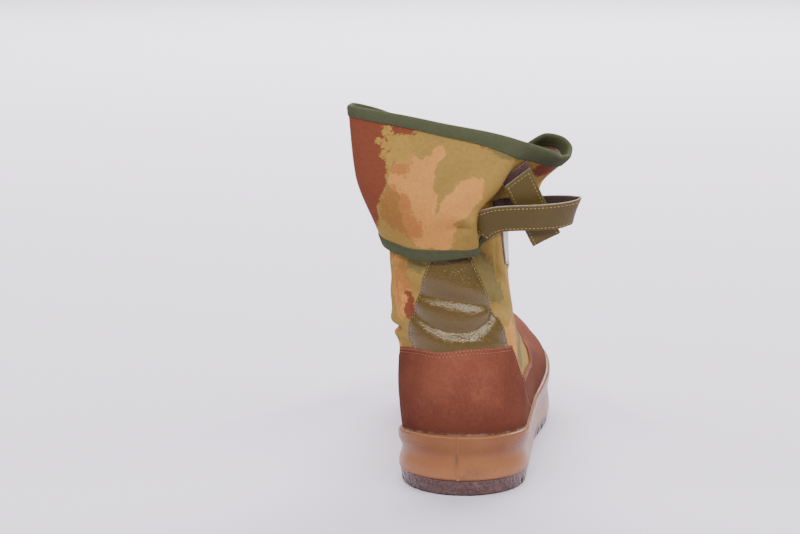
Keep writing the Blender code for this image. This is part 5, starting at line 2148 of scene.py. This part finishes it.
@dataclass(frozen=True)
class Strap:
    """Leatherette strap lined with pile, folded back over itself."""

    name: str
    node: str
    stops: tuple[StrapStop, ...]
    widthways: tuple[float, float, float]
    skews: tuple[float, float, float]
    width: float = 19.0
    wall: float = 1.7
    rounding: float = 0.9
    edge_share: float = 0.45
    rim_half: float = 0.5
    skew_reach: float = 9.0
    fold_reach: float = 30.0
    softenings: int = 12
    stations: int = 170
    strips: int = 26
    rows: tuple[StitchRow, ...] = (
        (Border.FIRST_COLUMN, 2.2, (3.0, 3.0)),
        (Border.LAST_COLUMN, 2.2, (3.0, 3.0)),
        (Border.LAST_ROW, 2.4, (2.5, 2.5)),
    )

    def build(self, thread: Stitching) -> Thing:
        """Builds the strap, pale along its cut edges, with a stitch row along each border."""
        path = np.array(self.stops)
        steps = np.concatenate([[0.0], np.cumsum(np.linalg.norm(np.diff(path, axis=0), axis=-1))])
        places = np.linspace(0.0, steps[-1], self.stations)
        line = np.stack([smooth(steps, path[:, k], places) for k in range(3)], axis=-1)
        for _ in range(self.softenings):
            line[1:-1] = (line[:-2] + 2.0 * line[1:-1] + line[2:]) / 4.0
        along = unit(np.gradient(line, axis=0))
        wide = unit(np.array(self.widthways))
        wide = unit(wide - (along @ wide)[:, None] * along)
        thick = np.cross(along, wide)
        across = clustered(self.strips) - 0.5
        grid = line[:, None, :] + wide[:, None, :] * (across * self.width)[None, :, None]
        turn = np.argmax(np.linalg.norm(path - path[0], axis=-1))
        away = unit(path[turn] - path[0])[None, None, :]
        slants = (
            (places[0], self.skew_reach, along[:, None, :]),
            (places[-1], self.skew_reach, along[:, None, :]),
            (steps[turn], self.fold_reach, away),
        )
        for skew, (place, reach, way) in zip(self.skews, slants):
            share = np.clip(1.0 - np.abs(places - place) / reach, 0.0, 1.0)
            grid = grid + way * (share[:, None] * across * 2.0 * skew)[:, :, None]
        base = Patch(grid)
        half = self.wall / 2 * base.rounded(self.rounding, self.edge_share)
        normal = thick * (np.sign(-thick[-1, 1]) or 1.0)
        outer, inner = (grid + normal[:, None, :] * (face * half)[:, :, None] for face in (1.0, -1.0))
        face = Patch(outer)
        for border, inset, trim in self.rows:
            row = face.line(border, inset, trim)[0]
            nearest = np.argmin(np.linalg.norm(row[:, None] - line[None], axis=-1), axis=1)
            thread.sew((row, normal[nearest]), 0.1)
        rim = hump(base.inset() / self.rim_half).ravel()
        materials = [STRAP_FACE.material(), PILE.material(), CUT_EDGE.material()]
        fields = {"rim": np.concatenate([rim, rim])}
        shape = (self.stations, self.strips)
        points = both_faces(outer, inner)
        thing = make_sheet(self.name, points, shape, materials, fields=fields, rim_slot=2)
        declare(base)
        return settle(thing, Slot.LEATHERETTE, self.node)


STRAPS = (
    Strap(
        "strap_across",
        "strap_cross",
        (
            StrapStop(20.0, 18.4, 179.4),
            StrapStop(28.0, 20.4, 180.8),
            StrapStop(36.0, 21.4, 181.2),
            StrapStop(46.0, 21.0, 182.0),
            StrapStop(58.0, 18.0, 183.2),
            StrapStop(67.0, 13.8, 183.6),
            StrapStop(71.4, 9.4, 183.0),
            StrapStop(67.0, 5.2, 181.4),
            StrapStop(58.0, 0.8, 180.4),
            StrapStop(46.0, -2.0, 179.8),
            StrapStop(34.0, -2.8, 179.4),
            StrapStop(25.0, -2.4, 178.6),
            StrapStop(18.5, -0.4, 176.4),
            StrapStop(13.6, 2.8, 173.2),
            StrapStop(10.0, 6.2, 169.4),
        ),
        (-0.10, -0.46, 0.88),
        (0.0, 0.0, 4.0),
    ),
    Strap(
        "strap_upright",
        "strap_up",
        (
            StrapStop(33.2, 4.6, 208.2),
            StrapStop(36.4, 7.0, 200.6),
            StrapStop(40.4, 9.0, 191.4),
            StrapStop(45.2, 10.8, 181.5),
            StrapStop(50.2, 11.8, 170.6),
            StrapStop(53.4, 9.9, 164.8),
            StrapStop(51.0, 7.8, 169.6),
            StrapStop(45.8, 5.7, 181.0),
            StrapStop(40.3, 3.2, 193.0),
            StrapStop(35.2, 0.2, 204.4),
        ),
        (0.86, 0.10, 0.44),
        (-2.0, 2.0, 0.0),
    ),
)


# Studio


@dataclass(frozen=True)
class Lamp:
    """A soft box light turned to its aim."""

    name: str
    place: tuple[float, float, float]
    width: float
    height: float
    watts: float
    color: str = "FFFFFF"
    aim: tuple[float, float, float] = (0.0, 0.0, 0.12)

    def build(self) -> None:
        """Adds the light, turned to its aim."""
        data = bpy.data.lights.new(self.name, "AREA")
        data.shape = "RECTANGLE"
        data.size = self.width
        data.size_y = self.height
        data.energy = self.watts
        data.color = linear(self.color)[:3]
        thing = bpy.data.objects.new(self.name, data)
        bpy.context.scene.collection.objects.link(thing)
        aim = np.array(self.aim) - np.array(self.place)
        flat = math.hypot(aim[0], aim[1])
        thing.location = self.place
        thing.rotation_euler = (math.pi / 2 + math.atan2(aim[2], flat), 0.0, math.atan2(-aim[0], aim[1]))


@dataclass(frozen=True)
class Studio:
    """Pale floor, soft light and the camera at the photograph's angle."""

    camera_place: tuple[float, float, float] = (104.6, -1195.4, 363.0)
    camera_turn: tuple[float, float, float] = (79.83, 0.0, 6.75)
    lens: float = 88.5
    sensor: float = 36.0
    view_end: float = 100.0
    floor_half: float = 30.0
    sky: str = "E2E0EA"
    sky_strength: float = 0.22
    lamps: tuple[Lamp, ...] = (
        Lamp("strip_middle", (0.2, -3.5, 3.38), 4.2, 0.50, 240.0),
        Lamp("strip_right", (3.44, -1.83, 3.18), 4.2, 0.50, 225.0),
        Lamp("strip_left", (-3.2, -1.95, 3.38), 4.2, 0.50, 165.0),
        Lamp("backdrop", (0.0, 4.8, 4.0), 7.0, 6.0, 1740.0, aim=(0.0, 4.6, 0.0)),
    )

    def build(self) -> None:
        """Sets the stage."""
        data = bpy.data.cameras.new("photo_view")
        data.lens = self.lens
        data.sensor_width = self.sensor
        data.sensor_fit = "HORIZONTAL"
        data.clip_end = self.view_end
        camera = bpy.data.objects.new("photo_view", data)
        camera.location = (np.array(self.camera_place) + SHIFT) * MM
        camera.rotation_euler = tuple(math.radians(angle) for angle in self.camera_turn)
        bpy.context.scene.collection.objects.link(camera)
        bpy.context.scene.camera = camera
        half = self.floor_half
        corners = [(-half, -half, 0.0), (half, -half, 0.0), (half, half, 0.0), (-half, half, 0.0)]
        mesh = bpy.data.meshes.new("floor")
        mesh.from_pydata(corners, [], [(0, 1, 2, 3)])
        mesh.materials.append(PALE_FLOOR.material())
        floor = bpy.data.objects.new("floor", mesh)
        bpy.context.scene.collection.objects.link(floor)
        world = bpy.data.worlds.new("studio")
        world.use_nodes = True
        sky = world.node_tree.nodes["Background"]
        sky.inputs["Color"].default_value = linear(self.sky)
        sky.inputs["Strength"].default_value = self.sky_strength
        bpy.context.scene.world = world
        for lamp in self.lamps:
            lamp.build()


def main() -> None:
    """Builds the boot piece by piece and sets the stage."""
    logging.basicConfig(level=logging.INFO, format="%(name)s: %(message)s")
    Studio().build()
    gold = Stitching("stitches_gold", GOLD_THREAD, pitch=2.4, length=1.7, thick=0.45)
    beige = Stitching("stitches_beige", BEIGE_THREAD, pitch=2.4, length=1.1, thick=0.42)
    olive = Stitching("stitches_olive", OLIVE_THREAD, pitch=2.4, length=1.5, thick=0.4)
    green = Stitching("stitches_green", GREEN_THREAD, pitch=2.4, length=1.6, thick=0.4)
    sole = Sole()
    sole.build_tread()
    sole.build_cup()
    sole.build_insole()
    Upper().build()
    overlays = Overlays()
    overlays.build_counter(beige)
    overlays.build_vamp(beige)
    overlays.build_panel(olive)
    for side in (1.0, -1.0):
        overlays.build_facing(side, gold)
    Eyelets().build()
    Tongue().build(gold)
    cuff = Cuff()
    sheet = cuff.build()
    tape = cuff.build_binding(green)
    for strap in STRAPS:
        strap.build(gold)
    gold.build(Slot.LEATHERETTE)
    beige.build(Slot.SUEDE)
    olive.build(Slot.LEATHERETTE)
    rows = green.build(Slot.TAPE)
    declare(cuff.cloth())


if __name__ == "__main__":
    main()
